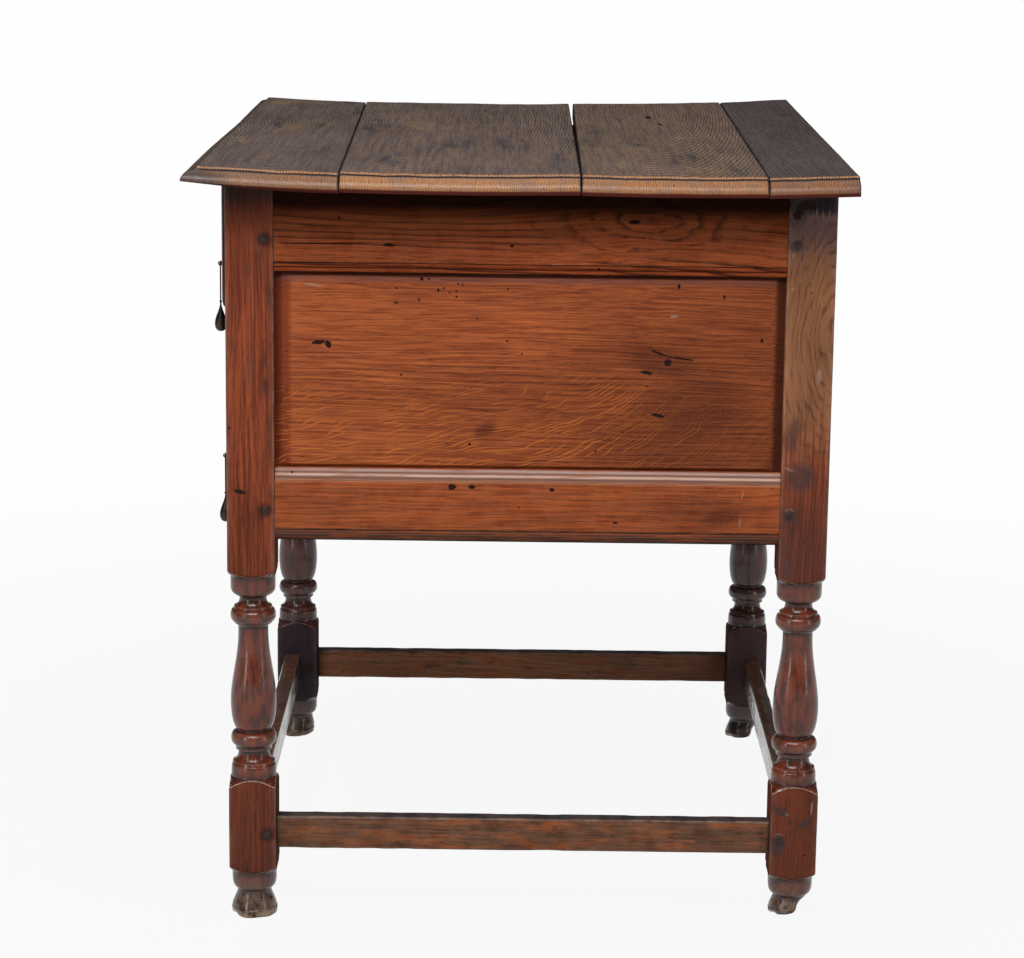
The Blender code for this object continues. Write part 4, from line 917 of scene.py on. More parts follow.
def leg_section():
    """Half section of a leg; blocks are drawn wider than the square, which cuts them afterwards."""
    half = LEG_HALF
    wide = half * sqrt(2) + DRUM_CUT
    drum = half - DRUM_CUT
    leg = Turning(half - TOE_CUT, 0.0)
    leg.swell(half - TOE_CUT, TOE_HEIGHT, TOE_BULGE)
    leg.ease(half - ANKLE_CUT, FOOT_HEIGHT - FILLET_HEIGHT / 2)
    leg.line(half - ANKLE_CUT, FOOT_HEIGHT)
    leg.line(half - DRUM_FOOT_CUT, FOOT_HEIGHT + FILLET_HEIGHT / 2)
    leg.quarter(drum, FOOT_HEIGHT + DRUM_ROUND, level_first=True)
    leg.line(drum, BLOCK_BOTTOM - DRUM_CUT)
    leg.line(wide, BLOCK_BOTTOM + SHOULDER_RISE)
    leg.line(wide, BLOCK_TOP - SHOULDER_RISE)
    leg.line(drum, BLOCK_TOP + DRUM_CUT)

    collar_top = BLOCK_TOP + COLLAR_HEIGHT
    leg.line(drum, collar_top - 2 * FILLET_HEIGHT)
    leg.quarter(half - FILLET_CUT, collar_top, level_first=False)
    leg.line(half - FILLET_CUT, collar_top + FILLET_HEIGHT)
    cove_top = collar_top + FILLET_HEIGHT + COVE_HEIGHT
    leg.quarter(half - COVE_CUT, cove_top, level_first=True)
    bead_bottom = cove_top + SEAT_HEIGHT
    leg.line(half - SEAT_CUT, cove_top + FILLET_HEIGHT / 2)
    leg.line(half - SEAT_CUT, bead_bottom - FILLET_HEIGHT / 2)
    leg.line(half - BEAD_EDGE_CUT, bead_bottom)
    leg.swell(half - BEAD_EDGE_CUT, bead_bottom + BEAD_HEIGHT, BEAD_BULGE)
    vase_bottom = bead_bottom + BEAD_HEIGHT + FILLET_HEIGHT
    leg.line(half - VASE_FOOT_CUT, vase_bottom - FILLET_HEIGHT / 2)
    leg.line(half - VASE_FOOT_CUT, vase_bottom)
    leg.quarter(half - VASE_BELLY_CUT, vase_bottom + BELLY_RISE, level_first=True)

    upper_collar = CASE_BLOCK_BOTTOM - UPPER_COLLAR_HEIGHT
    upper_cove = upper_collar - FILLET_HEIGHT
    upper_bead = upper_cove - UPPER_COVE_HEIGHT - FILLET_HEIGHT
    vase_top = upper_bead - BEAD_HEIGHT - FILLET_HEIGHT
    leg.ease(half - VASE_NECK_CUT, vase_top - UPPER_NECK_HEIGHT)
    leg.line(half - VASE_NECK_CUT, vase_top - FILLET_HEIGHT / 2)
    leg.line(half - BEAD_EDGE_CUT, vase_top + FILLET_HEIGHT / 2)
    leg.line(half - BEAD_EDGE_CUT, upper_bead - BEAD_HEIGHT)
    leg.swell(half - BEAD_EDGE_CUT, upper_bead, BEAD_BULGE)
    leg.line(half - BEAD_EDGE_CUT, upper_bead + FILLET_HEIGHT)
    leg.quarter(half - UPPER_COVE_CUT, upper_cove, level_first=True)
    leg.line(half - UPPER_COVE_CUT, upper_cove + FILLET_HEIGHT / 2)
    leg.line(half - COVE_CUT, upper_collar)
    leg.quarter(drum, upper_collar + 3 * FILLET_HEIGHT, level_first=True)
    leg.line(drum, CASE_BLOCK_BOTTOM - DRUM_CUT)
    leg.line(wide, CASE_BLOCK_BOTTOM + SHOULDER_RISE)
    leg.line(wide, LEG_TOP)
    return leg.points


def leg_angles():
    """Directions round a leg, closer together at the four corners of its blocks."""
    close = [45 + a for a in (-2.8, -1.6, -0.7, 0.0, 0.7, 1.6, 2.8)]
    spread = [5.2 * k for k in range(8)]
    quarter = spread + close + [90 - a for a in reversed(spread[1:])]
    return np.radians([a + 90 * k for k in range(4) for a in quarter])


def square_radius(angles, corner):
    """Distance from a square's middle to its rim in each direction; corner is its rounding at each height."""
    folded = np.abs(((angles + pi / 4) % (pi / 2)) - pi / 4)
    flat = LEG_HALF / np.cos(folded)
    middle = LEG_HALF - corner[:, None]
    across = middle * (np.cos(folded) + np.sin(folded))
    inside = across ** 2 - (2 * middle ** 2 - corner[:, None] ** 2)
    arc = across + np.sqrt(np.maximum(inside, 0.0))
    on_flat = np.tan(folded) * LEG_HALF <= middle
    return np.where(on_flat, flat, np.minimum(flat, arc))


def leg_rings():
    """Radii and heights of a leg's rings, and how deep each lies in a hollow of the turning."""
    fine = even_points(leg_section(), SECTION_STEP)
    soft = blur_points(fine, CORNER_BLUR)
    trend = blur_points(fine, TREND_BLUR)
    kept = thin_points(soft, RING_TURN, RING_STEP)
    radius, height = soft[kept].T
    return radius, np.clip(height, 0.0, LEG_TOP), (trend[kept, 0] - radius) / HOLLOW_DEPTH


def wear_leg(out, height, angles, middle, seed, slope):
    """Points of a leg with uneven sides, a chipped toe and a sole that slopes along Y."""
    level = height[:, None]
    x, y = np.cos(angles), np.sin(angles)
    points = grid_points(x * out, y * out, level)
    rough = wobble_grid(points, (38, 38, 24), seed)
    chips = wobble_grid(points, (120, 120, 90), seed + 4)
    foot = smooth_step(1 - level / FOOT_HEIGHT)
    lost = FOOT_CHIPS * np.maximum(chips, 0) + FOOT_DENTS * np.maximum(rough, 0)
    lost = lost + abs(slope) * (FOOT_SHRINK + SIDE_SHRINK * smooth_step(y * np.sign(slope)))
    from_chip = np.angle(np.exp(1j * (angles - FOOT_CHIP)))
    chip = FOOT_CHIP_DEPTH * np.exp(-(from_chip / FOOT_CHIP_SPREAD) ** 2)
    out = out + LEG_UNEVENNESS * rough - foot * lost - smooth_step(1 - level / TOE_HEIGHT) * chip
    sole = SOLE_LIFT * abs(slope) + SOLE_SLOPE * slope * y * out + SOLE_CHIPS * (1 + chips)
    z = np.where(foot > 0, sole + level * (1 - sole / FOOT_HEIGHT), level)
    return grid_points(middle.x + x * out, middle.y + y * out, z)


def make_leg(node, seed, looks, slope, shaded):
    """One leg: turned parts, worn blocks, a foot whose sole slopes, and an inner side darkened with painted
    shade.
    """
    middle = middle_of(node)
    radius, height, hollow = leg_rings()
    angles = leg_angles()
    levels = np.column_stack([np.full(len(height), seed * 3.0), np.zeros(len(height)), height])
    corner = CORNER_ROUND
    for depth, waves, step in CORNER_WAVES:
        corner = corner + depth * wobble(levels, (1, 1, waves), seed + step)
    block = square_radius(angles, np.clip(corner, *CORNER_RANGE))
    turned = np.repeat(radius[:, None], len(angles), axis=1)
    gap = block - turned
    share = np.clip(0.5 + 0.5 * gap / TURNING_BLEND, 0, 1)
    out = block * (1 - share) + turned * share - TURNING_BLEND * share * (1 - share)
    points = wear_leg(out, height, angles, middle, seed, slope)

    is_turned = smooth_step(gap / TURNED_RAMP + 0.5)
    square = 1 - is_turned
    folded = np.abs(((np.degrees(angles) + 45) % 90) - 45)
    arris = smooth_step((folded - ARRIS_START) / ARRIS_TURN)
    inward = np.sin(angles) * np.sign(MIDDLE_Y - middle.y)
    marks = {
        "wear": EDGE_WEAR * (arris * square + smooth_step(-hollow)[:, None] * is_turned),
        # Dirt together with painted shade in the hollows of the turning
        "dirt": smooth_step(hollow)[:, None] * is_turned,
        "turned": is_turned,
        "gap": np.clip(1000 * gap, -9, 9),
        "shade": shaded * smooth_step((np.cos(angles) + 0.1) / 0.7) * (1 - 0.6 * is_turned),
        "matte": smooth_step((inward - 0.66) / 0.06) * square,
    }
    piece = add_mesh(f"{node}_waxed", points, loft_faces(*out.shape), sharp=40, **marks)
    flags = np.ravel(is_turned) > 0.5
    dress(piece, "carcass", "leg_oak", node, *looks)
    for face in piece.data.polygons:
        face.material_index = int(flags[face.vertices[0]] and flags[face.vertices[2]])
    return piece


# Rails, stretchers and their mouldings

class Side:
    """One side of the frame: u runs outward from the leg faces, v along the side and z up."""

    def __init__(self, place, angle, span):
        self.matrix = Matrix.Translation(place) @ Matrix.Rotation(angle, 4, "Z")
        self.span = span

    def points(self, u, v, z):
        """Row points from arrays of side coordinates."""
        local = grid_points(u, v, z, 1.0)
        return (local @ np.array(self.matrix).T)[..., :3]


RIGHT_END = Side((END_FACE, MIDDLE_Y, 0), 0.0, END_SPAN)
LEFT_END = Side((-END_FACE, MIDDLE_Y, 0), pi, END_SPAN)
BACK = Side((0, BACK_FACE, 0), pi / 2, LONG_SPAN)
FRONT = Side((0, FRONT_FACE, 0), -pi / 2, LONG_SPAN)
RAIL_OUTER = -RAIL_SETBACK
RAIL_INNER = RAIL_OUTER - RAIL_THICKNESS


def bead_points(edge, depth, bottom, top, steps=10):
    """Half-round moulding on a face at u = edge, from its lower quirk up to its upper one."""
    points = []
    for k in range(steps + 1):
        a = pi * k / steps
        points.append((edge - depth + depth * sin(a), (top + bottom) / 2 - (top - bottom) / 2 * cos(a)))
    return points


def end_top_rail_outline(low, high):
    """Top rail of an end, with two reeds along its lower edge."""
    reeds = low + 2 * REED_HEIGHT
    lower = bead_points(RAIL_OUTER, REED_DEPTH, low, low + REED_HEIGHT)
    upper = bead_points(RAIL_OUTER, REED_DEPTH, low + REED_HEIGHT, reeds)
    face = [(RAIL_OUTER, reeds), (RAIL_OUTER, high)]
    return [(RAIL_INNER, high), (RAIL_INNER, low), *lower, *upper[1:], *face]


def end_bottom_rail_outline(low, high):
    """Bottom rail of an end, with a moulded slope above and a bead below."""
    slope = high - CHAMFER_HEIGHT
    bead = bead_points(RAIL_OUTER, QUIRK_DEPTH, low, low + EDGE_BEAD_HEIGHT)
    mould = Turning(RAIL_OUTER - QUIRK_DEPTH, slope)
    mould.quarter(RAIL_OUTER - CHAMFER_DEPTH, high, level_first=False, steps=8)
    face = [(RAIL_OUTER, low + EDGE_BEAD_HEIGHT), (RAIL_OUTER, slope)]
    return [(RAIL_INNER, low), *bead, *face, *mould.points, (RAIL_INNER, high)]


def plain_rail(node, inner=RAIL_INNER, outer=RAIL_OUTER):
    """Plain rail or stretcher."""
    low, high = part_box(node)
    return [(inner, low.z), (outer, low.z), (outer, high.z), (inner, high.z)]


def soften(outline, radius, steps=4):
    """Round the corners of a closed outline; returns points, and how rubbed and how dark with dirt and
    painted shade each is.
    """
    outline = [np.array(p) for p in outline]
    area = sum(a[0] * b[1] - b[0] * a[1] for a, b in zip(outline, outline[1:] + outline[:1]))
    points, wear, dirt = [], [], []
    for before, here, after in zip(outline[-1:] + outline[:-1], outline, outline[1:] + outline[:1]):
        back, ahead = before - here, after - here
        reach = min(radius, 0.45 * hypot(*back), 0.45 * hypot(*ahead))
        bend = np.arctan2(ahead[1] * back[0] - ahead[0] * back[1], ahead @ back)
        if abs(bend) > radians(155):
            points.append(here)
            wear.append(0.0)
            dirt.append(0.0)
            continue
        start, end = here + back / hypot(*back) * reach, here + ahead / hypot(*ahead) * reach
        convex = (bend < 0) == (area > 0)
        for k in range(steps + 1):
            t = k / steps
            points.append(start * (1 - t) ** 2 + here * 2 * t * (1 - t) + end * t * t)
            peak = sin(pi * (k + 0.5) / (steps + 1))
            wear.append(peak if convex else 0.0)
            # Concave corners darken with dirt and painted shade
            dirt.append(0.0 if convex else peak)
    return np.array(points), np.array(wear), np.array(dirt)


def make_bar(node, side, outline, seed, material, slot, radius, hand=RAIL_SWAY):
    """A rail or stretcher of any section between two legs, a little uneven along its length."""
    section, wear, dirt = soften(outline, radius)
    half = side.span / 2 - FIT
    count = int(2 * half / BAR_STEP) + 1
    v = np.linspace(-half, half, count)[:, None]
    rim = grid_points(section[:, 0], v, section[:, 1])
    sway = wobble_grid(rim * (0, 1, 0) + (0, 0, seed), (1, 9, 1), seed) * hand
    rub = np.clip(wobble_grid(rim, (60, 45, 60), seed + 3), 0, 1) * wear * radius * 0.7
    inward = section.mean(axis=0) - section
    inward /= np.maximum(np.hypot(*inward.T), 1e-6)[:, None]
    points = side.points(rim[..., 0] + inward[:, 0] * rub + sway, v, rim[..., 2] + inward[:, 1] * rub)
    marks = {"wear": np.tile(0.6 * wear, count), "dirt": np.tile(dirt, count)}
    piece = add_mesh(f"{node}_waxed", points, loft_faces(count, len(section)), sharp=38, **marks)
    return dress(piece, "carcass", slot, node, material)


# Boards and panels

def make_slab(name, top, skirts, **marks):
    """Closed solid from a grid of points for its face and rings of points below the grid's rim."""
    rows, columns = top.shape[:2]
    index = np.arange(rows * columns).reshape(rows, columns)
    faces = [(index[i, j], index[i, j + 1], index[i + 1, j + 1], index[i + 1, j])
             for i in range(rows - 1) for j in range(columns - 1)]
    rim = rim_of(index)
    points = [top.reshape(-1, 3)]
    start = rows * columns
    for ring in skirts:
        below = list(range(start, start + len(rim)))
        for k in range(len(rim)):
            after = (k + 1) % len(rim)
            faces.append((rim[k], rim[after], below[after], below[k]))
        points.append(ring)
        start += len(rim)
        rim = below
    faces.append(tuple(rim))
    extra = sum(len(ring) for ring in skirts)
    filled = {key: np.concatenate([np.ravel(values), np.full(extra, below)])
              for key, (values, below) in marks.items()}
    faces = [tuple(int(k) for k in face) for face in faces]
    return add_mesh(name, np.concatenate(points), faces, sharp=38, **filled)


def rim_of(grid):
    """The outer points of a grid, once round."""
    return np.concatenate([grid[0, :-1], grid[:-1, -1], grid[-1, :0:-1], grid[:0:-1, 0]])


def nosing_height(inset):
    """Height of a moulded edge below the face, for distances in from its outermost line."""
    quarter = NOSING_DROP * (1 - np.sqrt(np.clip(1 - (1 - np.clip(inset / NOSING_WIDTH, 0, 1)) ** 2, 0, 1)))
    step = NOSING_STEP * (1 - smooth_step((inset - NOSING_WIDTH) / ARRIS_FALL))
    return np.where(inset < NOSING_WIDTH, NOSING_STEP + quarter, step)


def edge_steps(length, moulded, pitch):
    """Distances from one edge of a board, close together where the edge is worked."""
    worked = np.array([0.0, 0.0004, 0.0009, 0.0016])
    if moulded:
        ovolo = NOSING_WIDTH * (1 - np.cos(np.linspace(0, pi / 2, 9)))
        arris = NOSING_WIDTH + np.array([0.0002, 0.00045, 0.0008, 0.0014, 0.0025])
        worked = np.concatenate([ovolo, arris])
    count = max(3, int((length / 2 - worked[-1]) / pitch) + 2)
    return np.concatenate([worked, np.linspace(worked[-1], length / 2, count)[1:]])


def board_lines(node):
    """Front and back edge of a board's solid at its left and right end, as (left y, right y)."""
    corners = np.array([v.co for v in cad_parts[node].data.vertices])
    reach = corners[:, 0].max() - 1e-5
    right = corners[corners[:, 0] > reach]
    left = corners[corners[:, 0] < -reach]
    return (left[:, 1].min(), right[:, 1].min()), (left[:, 1].max(), right[:, 1].max())


def board_grid(node, length, moulded_front):
    """Rows of a board as columns of x, front y and back y, and shares of its width from front to back."""
    front, back = board_lines(node)
    width = (sum(back) - sum(front)) / 2
    ends = edge_steps(length, True, BOARD_ROW_STEP)
    x = (np.concatenate([ends, length - ends[-2::-1]]) - length / 2)[:, None]
    front_steps = edge_steps(width, moulded_front, BOARD_COLUMN_STEP)
    back_steps = edge_steps(width, False, BOARD_COLUMN_STEP)
    across = np.concatenate([front_steps, width - back_steps[-2::-1]]) / width
    along = x / length + 0.5
    start = front[0] + (front[1] - front[0]) * along
    stop = back[0] + (back[1] - back[0]) * along
    return x, along, across, start, stop


def make_board(node, seed, moulded_front, cup, looks):
    """One board of the top: hand-planed face, moulded ends and, on the front board, a moulded front."""
    low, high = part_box(node)
    flat_low, flat_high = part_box("top_board_second")
    length = high.x - low.x
    x, along, across, start, stop = board_grid(node, length, moulded_front)
    y = start + (stop - start) * across
    from_end = np.broadcast_to(length / 2 - np.abs(x), y.shape)
    from_joint = stop - y if moulded_front else np.minimum(y - start, stop - y)
    drop = nosing_height(from_end)
    if moulded_front:
        drop = np.maximum(drop, nosing_height(y - start))
    rise = high.z - flat_high.z
    lift = rise * (rise > 1e-4) * (1 - across if moulded_front else across)
    lift = lift + TOP_TWIST * np.clip((y - TWIST_START) / (BACK_FACE - TWIST_START), 0, 1) * (1 - along)
    tip = moulded_front * (1 - across) ** 2
    lift = lift + FRONT_CURL * tip + cup * (2 * across - 1) ** 2 * (0.6 + 0.4 * along)
    y = y - FRONT_SPREAD * tip ** 2 * smooth_step(2 * along - 0.6)

    flat = grid_points(x, y, 0.0)
    arris = np.exp(-((from_end - ARRIS_INSET) / ARRIS_WIDTH) ** 2)
    if moulded_front:
        arris = np.maximum(arris, np.exp(-((y - start - ARRIS_INSET) / ARRIS_WIDTH) ** 2))
    lost = ARRIS_LOSS * arris * np.clip(wobble_grid(flat, (60, 60, 1), seed + 2) + 0.25, 0, 1)
    lost = lost + EASED_DEPTH * (1 - np.clip(from_joint / EASED_WIDTH, 0, 1)) ** 2
    uneven = BOARD_PLANING * wobble_grid(flat, (5, 26, 1), seed)
    uneven = uneven + BOARD_DENTS * wobble_grid(flat, (45, 60, 1), seed + 5)
    top = grid_points(x, y, flat_high.z - BOARD_SINK - drop - lost + uneven + lift)
    rim = rim_of(top)
    base = rim_of(grid_points(x, y, flat_low.z + lift + FRONT_THINNING * tip))
    tuck = np.zeros_like(rim)
    tuck[:, 0] = -np.sign(rim[:, 0]) * (np.abs(rim[:, 0]) > length / 2 - 1e-6) * NOSING_UNDERCUT
    edge = from_end
    soiled = 0.95 * smooth_step(1 - from_joint / JOINT_DIRT_WIDTH)
    if moulded_front:
        tuck[:, 1] = NOSING_UNDERCUT * (rim[:, 1] < rim[:, 1].min() + 1e-6)
        from_front = y - y[:, :1]
        edge = np.minimum(from_end, from_front)
        line = smooth_step(1 - (from_front - NOSING_WIDTH) / FRONT_DIRT_WIDTH)
        soiled = soiled + 0.75 * line * (from_front < from_end)
    marks = {"dirt": (soiled, 0.0), "matte": (0 * y, 1.0), "edge": (1000 * np.minimum(edge, 0.04), -3.0)}
    piece = make_slab(f"{node}_planed", top, [(rim + base) / 2 + 0.25 * tuck, base + tuck], **marks)
    dress(piece, "carcass", "top_oak", node, *looks)
    for face in piece.data.polygons:
        at_end = abs(face.center.x) > length / 2 - NOSING_WIDTH
        at_front = moulded_front and face.center.y < start.min() + NOSING_WIDTH
        face.material_index = int(at_end or at_front)


def make_panel(node, side, seed, gouges, material):
    """Loose panel with bevelled margins and a hand-planed field, gouged where it was struck."""
    low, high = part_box(node)
    reach = side.span / 2 + GROOVE_DEPTH - FIT
    middle = RAIL_OUTER - RAIL_THICKNESS / 2 - PANEL_SETBACK
    v = np.linspace(-reach, reach, int(2 * reach / PANEL_STEPS[0]))[:, None]
    z = np.linspace(low.z, high.z, int((high.z - low.z) / PANEL_STEPS[1]))
    from_side = reach - np.abs(v) - GROOVE_DEPTH
    from_end = np.minimum(z - low.z, high.z - z) - GROOVE_DEPTH
    rise = np.minimum(from_side / PANEL_SIDE_BEVEL, from_end / PANEL_END_BEVEL)
    place = grid_points(0.0, v, z)
    uneven = PANEL_PLANING * wobble_grid(place, (1, 9, 34), seed)
    uneven = uneven + PANEL_DENTS * wobble_grid(place, (1, 40, 60), seed + 3)
    u = middle + PANEL_TONGUE / 2 + PANEL_RAISE * smooth_step(rise * 0.96 + 0.02) + uneven * smooth_step(rise)
    for along, across, half_length, half_height in gouges:
        u = u - GOUGE_DEPTH * np.exp(-((v - along) / half_length) ** 2 - ((z - across) / half_height) ** 2)
    under = side.points(middle - PANEL_TONGUE / 2, v, z)
    # Dirt with painted shade: dark in the gap along one side edge, where the panel stands off the leg, and on
    # the bevelled margins
    joint = 1 - smooth_step((reach - GROOVE_DEPTH - v - 0.005) / 0.005)
    dirt = np.maximum(0.6 * (1 - smooth_step(rise * 1.6)), joint)
    piece = make_slab(f"{node}_planed", side.points(u, v, z), [rim_of(under)], dirt=(dirt, 0.0))
    return dress(piece, "carcass", "case_oak", node, material)


# Pieces

def make_legs():
    """Four legs; painted shade rings round the pegs on the near ones, and chips on the worn one."""
    pegs = [middle_of(name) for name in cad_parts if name.startswith("peg_right")]
    # Rings of painted shade round the pegs on the legs' faces
    peg_shades = tuple((peg.z, peg.y, PEG_SHADE_REACH, PEG_SHADE_REACH, 0.0, 0.75) for peg in pegs)
    chips = tuple((peg.z + PEG_CHIP_RISE, peg.y + shift, *PEG_CHIP_SIZE, PEG_CHIP_SLANT * shift)
                  for peg in pegs for shift in (-PEG_CHIP_SHIFT, PEG_CHIP_SHIFT))
    near = oak(LEG_WOOD, stains=peg_shades)
    worn = oak(WORN_LEG_WOOD, stains=WORN_LEG_WOOD.stains + peg_shades,
               pale_scars=WORN_LEG_WOOD.pale_scars + chips)
    # The back left leg's inner side takes a lighter painted shade
    lighter_shade = oak(LEG_WOOD, name="leg_oak_dusty", shade=(80, 66, 66))
    turning = oak(LEG_WOOD, name="leg_oak_turned", shine=0.44, rough=0.17)
    # Name, look, slope of the sole, painted shade of the inner side and shift of the grain
    legs = (("front_right", near, 0.03, 0.0, 0), ("back_right", worn, 0.9, 0.0, 0),
            ("front_left", near, 0.2, 0.87, 2), ("back_left", lighter_shade, 0.6, 0.85, 3))
    for seed, (name, look, slope, shaded, drift) in enumerate(legs, 1):
        make_leg(f"leg_{name}", seed, (look, turning), slope, shaded).pass_index = drift


def make_rails():
    """Rails and panels of the ends, the back and the front."""
    end_looks = oak(TOP_RAIL_WOOD), oak(BOTTOM_RAIL_WOOD), oak(PANEL_WOOD)
    long_look = oak(LONG_CASE)
    sides = (("right_end", RIGHT_END), ("left_end", LEFT_END), ("back", BACK))
    for number, (name, side) in enumerate(sides):
        nodes = [f"{name}_{piece}" for piece in ("top_rail", "bottom_rail", "panel")]
        if side is BACK:
            top, bottom = plain_rail(nodes[0]), plain_rail(nodes[1])
            looks = [long_look] * 3
        else:
            top = end_top_rail_outline(*(corner.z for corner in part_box(nodes[0])))
            bottom = end_bottom_rail_outline(*(corner.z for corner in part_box(nodes[1])))
            looks = end_looks
        gouges = (PANEL_GOUGE,) if side is RIGHT_END else ()
        bars = ((top, TOP_RAIL_SEED + number), (bottom, BOTTOM_RAIL_SEED + number))
        pieces = [make_bar(node, side, outline, seed, look, "case_oak", END_RAIL_ROUND)
                  for node, look, (outline, seed) in zip(nodes, looks, bars)]
        pieces.append(make_panel(nodes[2], side, PANEL_SEED + number, gouges, looks[2]))
        for piece in pieces:
            piece.pass_index = number
    for number, node in enumerate(("drawer_divider_rail", "front_bottom_rail")):
        seed = FRONT_RAIL_SEED + number
        piece = make_bar(node, FRONT, plain_rail(node), seed, long_look, "case_oak", FRONT_RAIL_ROUND)
        piece.pass_index = 3 + number


def make_stretchers():
    """Four stretchers with well rubbed edges."""
    long_look = oak(STRETCHER_LONG)
    sides = (("right_end", RIGHT_END, oak(STRETCHER_END)), ("left_end", LEFT_END, oak(STRETCHER_FAR_LIT)),
             ("front", FRONT, long_look), ("back", BACK, long_look))
    for number, (name, side, look) in enumerate(sides):
        node = f"{name}_stretcher"
        outline = plain_rail(node, -STRETCHER_SETBACK - STRETCHER_THICKNESS, -STRETCHER_SETBACK)
        seed = STRETCHER_SEED + number
        piece = make_bar(node, side, outline, seed, look, "leg_oak", STRETCHER_ROUND, STRETCHER_SWAY)
        piece.pass_index = number


def make_peg(node, seed, material):
    """Hand-cut peg: uneven sides and a domed end that stands in a dark rim of dirt and painted shade."""
    low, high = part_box(node)
    middle = middle_of(node)
    outer = 1 if middle.x > 0 else -1
    angles = np.linspace(0, 2 * pi, PEG_SIDES, endpoint=False)
    radius = (high.y - low.y) / 2 * (0.94 + 0.07 * np.sin(3 * angles + seed) * np.cos(2 * angles + 2 * seed))
    reach, share, dirt = np.array(PEG_PROFILE).T[..., None]
    x = middle.x + outer * (high.x - low.x) / 2 * reach
    out = radius * share
    points = grid_points(x, middle.y + np.cos(angles) * out, middle.z + np.sin(angles) * out)
    faces = loft_faces(len(PEG_PROFILE), PEG_SIDES)
    piece = add_mesh(f"{node}_whittled", points, faces, sharp=50, dirt=np.repeat(dirt, PEG_SIDES))
    piece.pass_index = seed
    dress(piece, "carcass", "peg_oak", node, material)


def make_pegs():
    """Pegs of the end joints."""
    look = oak(PEG_WOOD)
    for seed, node in enumerate(sorted(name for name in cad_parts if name.startswith("peg_"))):
        make_peg(node, seed, look)


def make_top():
    """Four boards, with more shine on their moulded edges."""
    boards = (("front", TOP_WOOD, 0.0), ("second", TOP_SECOND, 0.0012), ("third", TOP_THIRD, 0.0008),
              ("back", TOP_BACK, 0.0))
    for seed, (name, kind, cup) in enumerate(boards, BOARD_SEED):
        looks = oak(kind), oak(kind, name=f"{kind.name}_edge", shine=0.38, rough=0.36)
        make_board(f"top_board_{name}", seed, kind is TOP_WOOD, cup, looks)


def make_drop(node, material):
    """Pear-shaped drop on a ring that hangs on the staple's wire."""
    low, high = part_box(node)
    middle = middle_of(node)
    bulb = (high.x - low.x) / 2
    drop = Turning(DROP_TIP_SHARE * bulb, 0.0)
    drop.quarter(bulb, DROP_BELLY_RISE, level_first=True)
    drop.ease(DROP_NECK, DROP_WAIST)
    drop.swell(DROP_NECK, DROP_WAIST + DROP_BEAD_HEIGHT, DROP_BEAD_BULGE, 6)
    drop.line(DROP_NECK, DROP_LENGTH - DROP_RING)
    angles = np.linspace(0, 2 * pi, DROP_SIDES, endpoint=False)
    radius, height = np.array(drop.points).T[..., None]
    body = grid_points(middle.x + np.cos(angles) * radius, middle.y + np.sin(angles) * radius, low.z + height)
    wear = np.repeat(0.5 * smooth_step(1 - height / DROP_BULB_HEIGHT), DROP_SIDES)
    faces = loft_faces(len(drop.points), DROP_SIDES)

    tube = np.linspace(0, 2 * pi, DROP_TUBE_SIDES, endpoint=False)
    around = DROP_RING - DROP_WIRE + DROP_WIRE * np.cos(tube)
    turn = angles[:, None]
    eye = low.z + DROP_LENGTH
    x = middle.x + DROP_WIRE_WIDTH * np.sin(tube)
    ring = grid_points(x, middle.y + np.sin(turn) * around, eye + np.cos(turn) * around)
    start = len(wear)
    for i in range(DROP_SIDES):
        here = start + i * DROP_TUBE_SIDES
        after = start + (i + 1) % DROP_SIDES * DROP_TUBE_SIDES
        for j in range(DROP_TUBE_SIDES):
            k = (j + 1) % DROP_TUBE_SIDES
            faces.append((here + j, here + k, after + k, after + j))
    points = np.concatenate([body.reshape(-1, 3), ring.reshape(-1, 3)])
    wear = np.pad(wear, (0, len(points) - start))
    piece = add_mesh(f"{node}_cast", points, faces, sharp=50, wear=wear)
    dress(piece, node, "drop_brass", node, material)


def dress_solids():
    """The drops, and finishes for the solids that keep their own shape."""
    metal = brass()
    ends = tuple(LONG_SPAN / 2 - inset for inset in DRAWER_END_DIRT_AND_SHADE)
    finishes = {"runner": oak(RUNNER_WOOD), "drawer_front": oak(LONG_CASE, name="case_oak_drawer", ends=ends),
                "staple": metal, "_side_": oak(INNER_Y), "": oak(INNER_X)}
    for name in sorted(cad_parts):
        if "_drop_" in name:
            make_drop(name, metal)
    for number, (name, node) in enumerate(sorted(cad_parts.items())):
        if node.hide_render:
            continue
        look = next(finish for part, finish in finishes.items() if part in name)
        node.data.materials.clear()
        node.data.materials.append(look)
        node.pass_index = number
        if look is not metal:
            edge = node.modifiers.new("eased edges", "BEVEL")
            edge.width = EASED_EDGE
            edge.segments = 2
            edge.limit_method = "ANGLE"
            edge.angle_limit = radians(40)


# Floor, light and camera

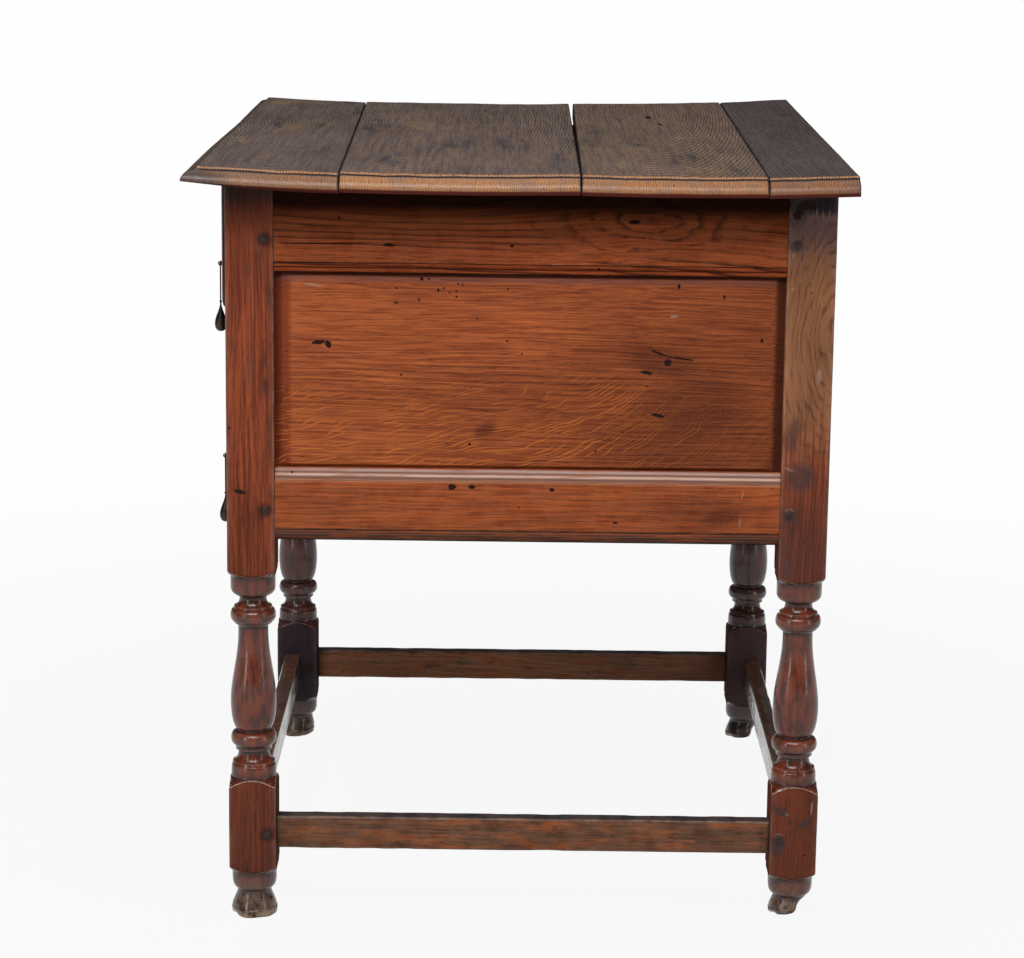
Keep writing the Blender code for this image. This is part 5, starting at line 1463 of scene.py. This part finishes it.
def make_floor():
    """Plain pale floor that keeps a soft shadow and shows white."""
    bpy.ops.mesh.primitive_plane_add(size=80.0)
    floor = bpy.context.object
    floor.name = "floor"
    g = Graph("pale_floor")
    place = g.add("ShaderNodeTexCoord").outputs["Object"]
    colour = g.mix(g.noise(place, (0.8, 0.8, 0.8), 2.0), (0.36, 0.36, 0.36, 1.0), (0.4, 0.4, 0.395, 1.0))
    g.feed(g.shader.inputs["Base Color"], colour)
    g.shader.inputs["Roughness"].default_value = 0.9
    g.shader.inputs["Specular IOR Level"].default_value = 0.0
    path = g.add("ShaderNodeLightPath").outputs
    seen = g.math("MAXIMUM", path["Is Camera Ray"], path["Is Glossy Ray"])
    seen = g.math("MAXIMUM", seen, path["Is Transmission Ray"])
    share = g.times(seen, g.span(g.length(place), 0.4, 2.2, 0.92, 0.995))
    white = g.add("ShaderNodeEmission", {"Color": (1, 1, 1, 1), "Strength": 1.0}).outputs[0]
    blend = g.add("ShaderNodeMixShader", {0: share, 1: g.shader.outputs[0], 2: white})
    g.feed(g.tree.nodes["Material Output"].inputs["Surface"], blend.outputs[0])
    floor.data.materials.append(g.material)


def make_light():
    """Soft studio light: a key above the camera, a strip at each side, a light over the top and pale air."""
    for name, (place, target, size, power) in LAMPS.items():
        lamp = bpy.data.lights.new(name, "AREA")
        lamp.shape = "RECTANGLE"
        lamp.size, lamp.size_y = size
        lamp.energy = power
        holder = bpy.data.objects.new(name, lamp)
        holder.location = place
        holder.rotation_euler = (Vector(target) - Vector(place)).to_track_quat("-Z", "Y").to_euler()
        bpy.context.scene.collection.objects.link(holder)
    world = bpy.data.worlds.new("studio")
    bpy.context.scene.world = world
    world.use_nodes = True
    nodes, links = world.node_tree.nodes, world.node_tree.links
    path = nodes.new("ShaderNodeLightPath")
    white = nodes.new("ShaderNodeBackground")
    blend = nodes.new("ShaderNodeMixShader")
    around = nodes["Background"]
    around.inputs["Color"].default_value = (0.9, 0.95, 1.0, 1.0)
    around.inputs["Strength"].default_value = 0.08
    white.inputs["Color"].default_value = (1.0, 1.0, 1.0, 1.0)
    for k, output in enumerate((path.outputs["Is Camera Ray"], around.outputs[0], white.outputs[0])):
        links.new(output, blend.inputs[k])
    links.new(blend.outputs[0], nodes["World Output"].inputs["Surface"])


def make_camera():
    """Camera at the place and angle from which the photograph was taken."""
    ahead, right, up = Vector((-1, 0, 0)), Vector((0, 1, 0)), Vector((0, 0, 1))
    turn = Matrix.Rotation(CAMERA_YAW, 3, up)
    ahead, right = turn @ ahead, turn @ right
    turn = Matrix.Rotation(-CAMERA_PITCH, 3, right)
    ahead, up = turn @ ahead, turn @ up
    turn = Matrix.Rotation(CAMERA_ROLL, 3, ahead)
    right, up = turn @ right, turn @ up
    data = bpy.data.cameras.new("camera")
    data.lens = CAMERA_LENS
    data.sensor_width = SENSOR_WIDTH
    camera = bpy.data.objects.new("camera", data)
    camera.matrix_world = Matrix.Translation(CAMERA_PLACE) @ Matrix((right, up, -ahead)).transposed().to_4x4()
    bpy.context.scene.collection.objects.link(camera)
    bpy.context.scene.camera = camera


make_legs()
make_rails()
make_stretchers()
make_top()
make_pegs()
dress_solids()
make_floor()
make_light()
make_camera()
bpy.context.scene.view_settings.view_transform = "Standard"
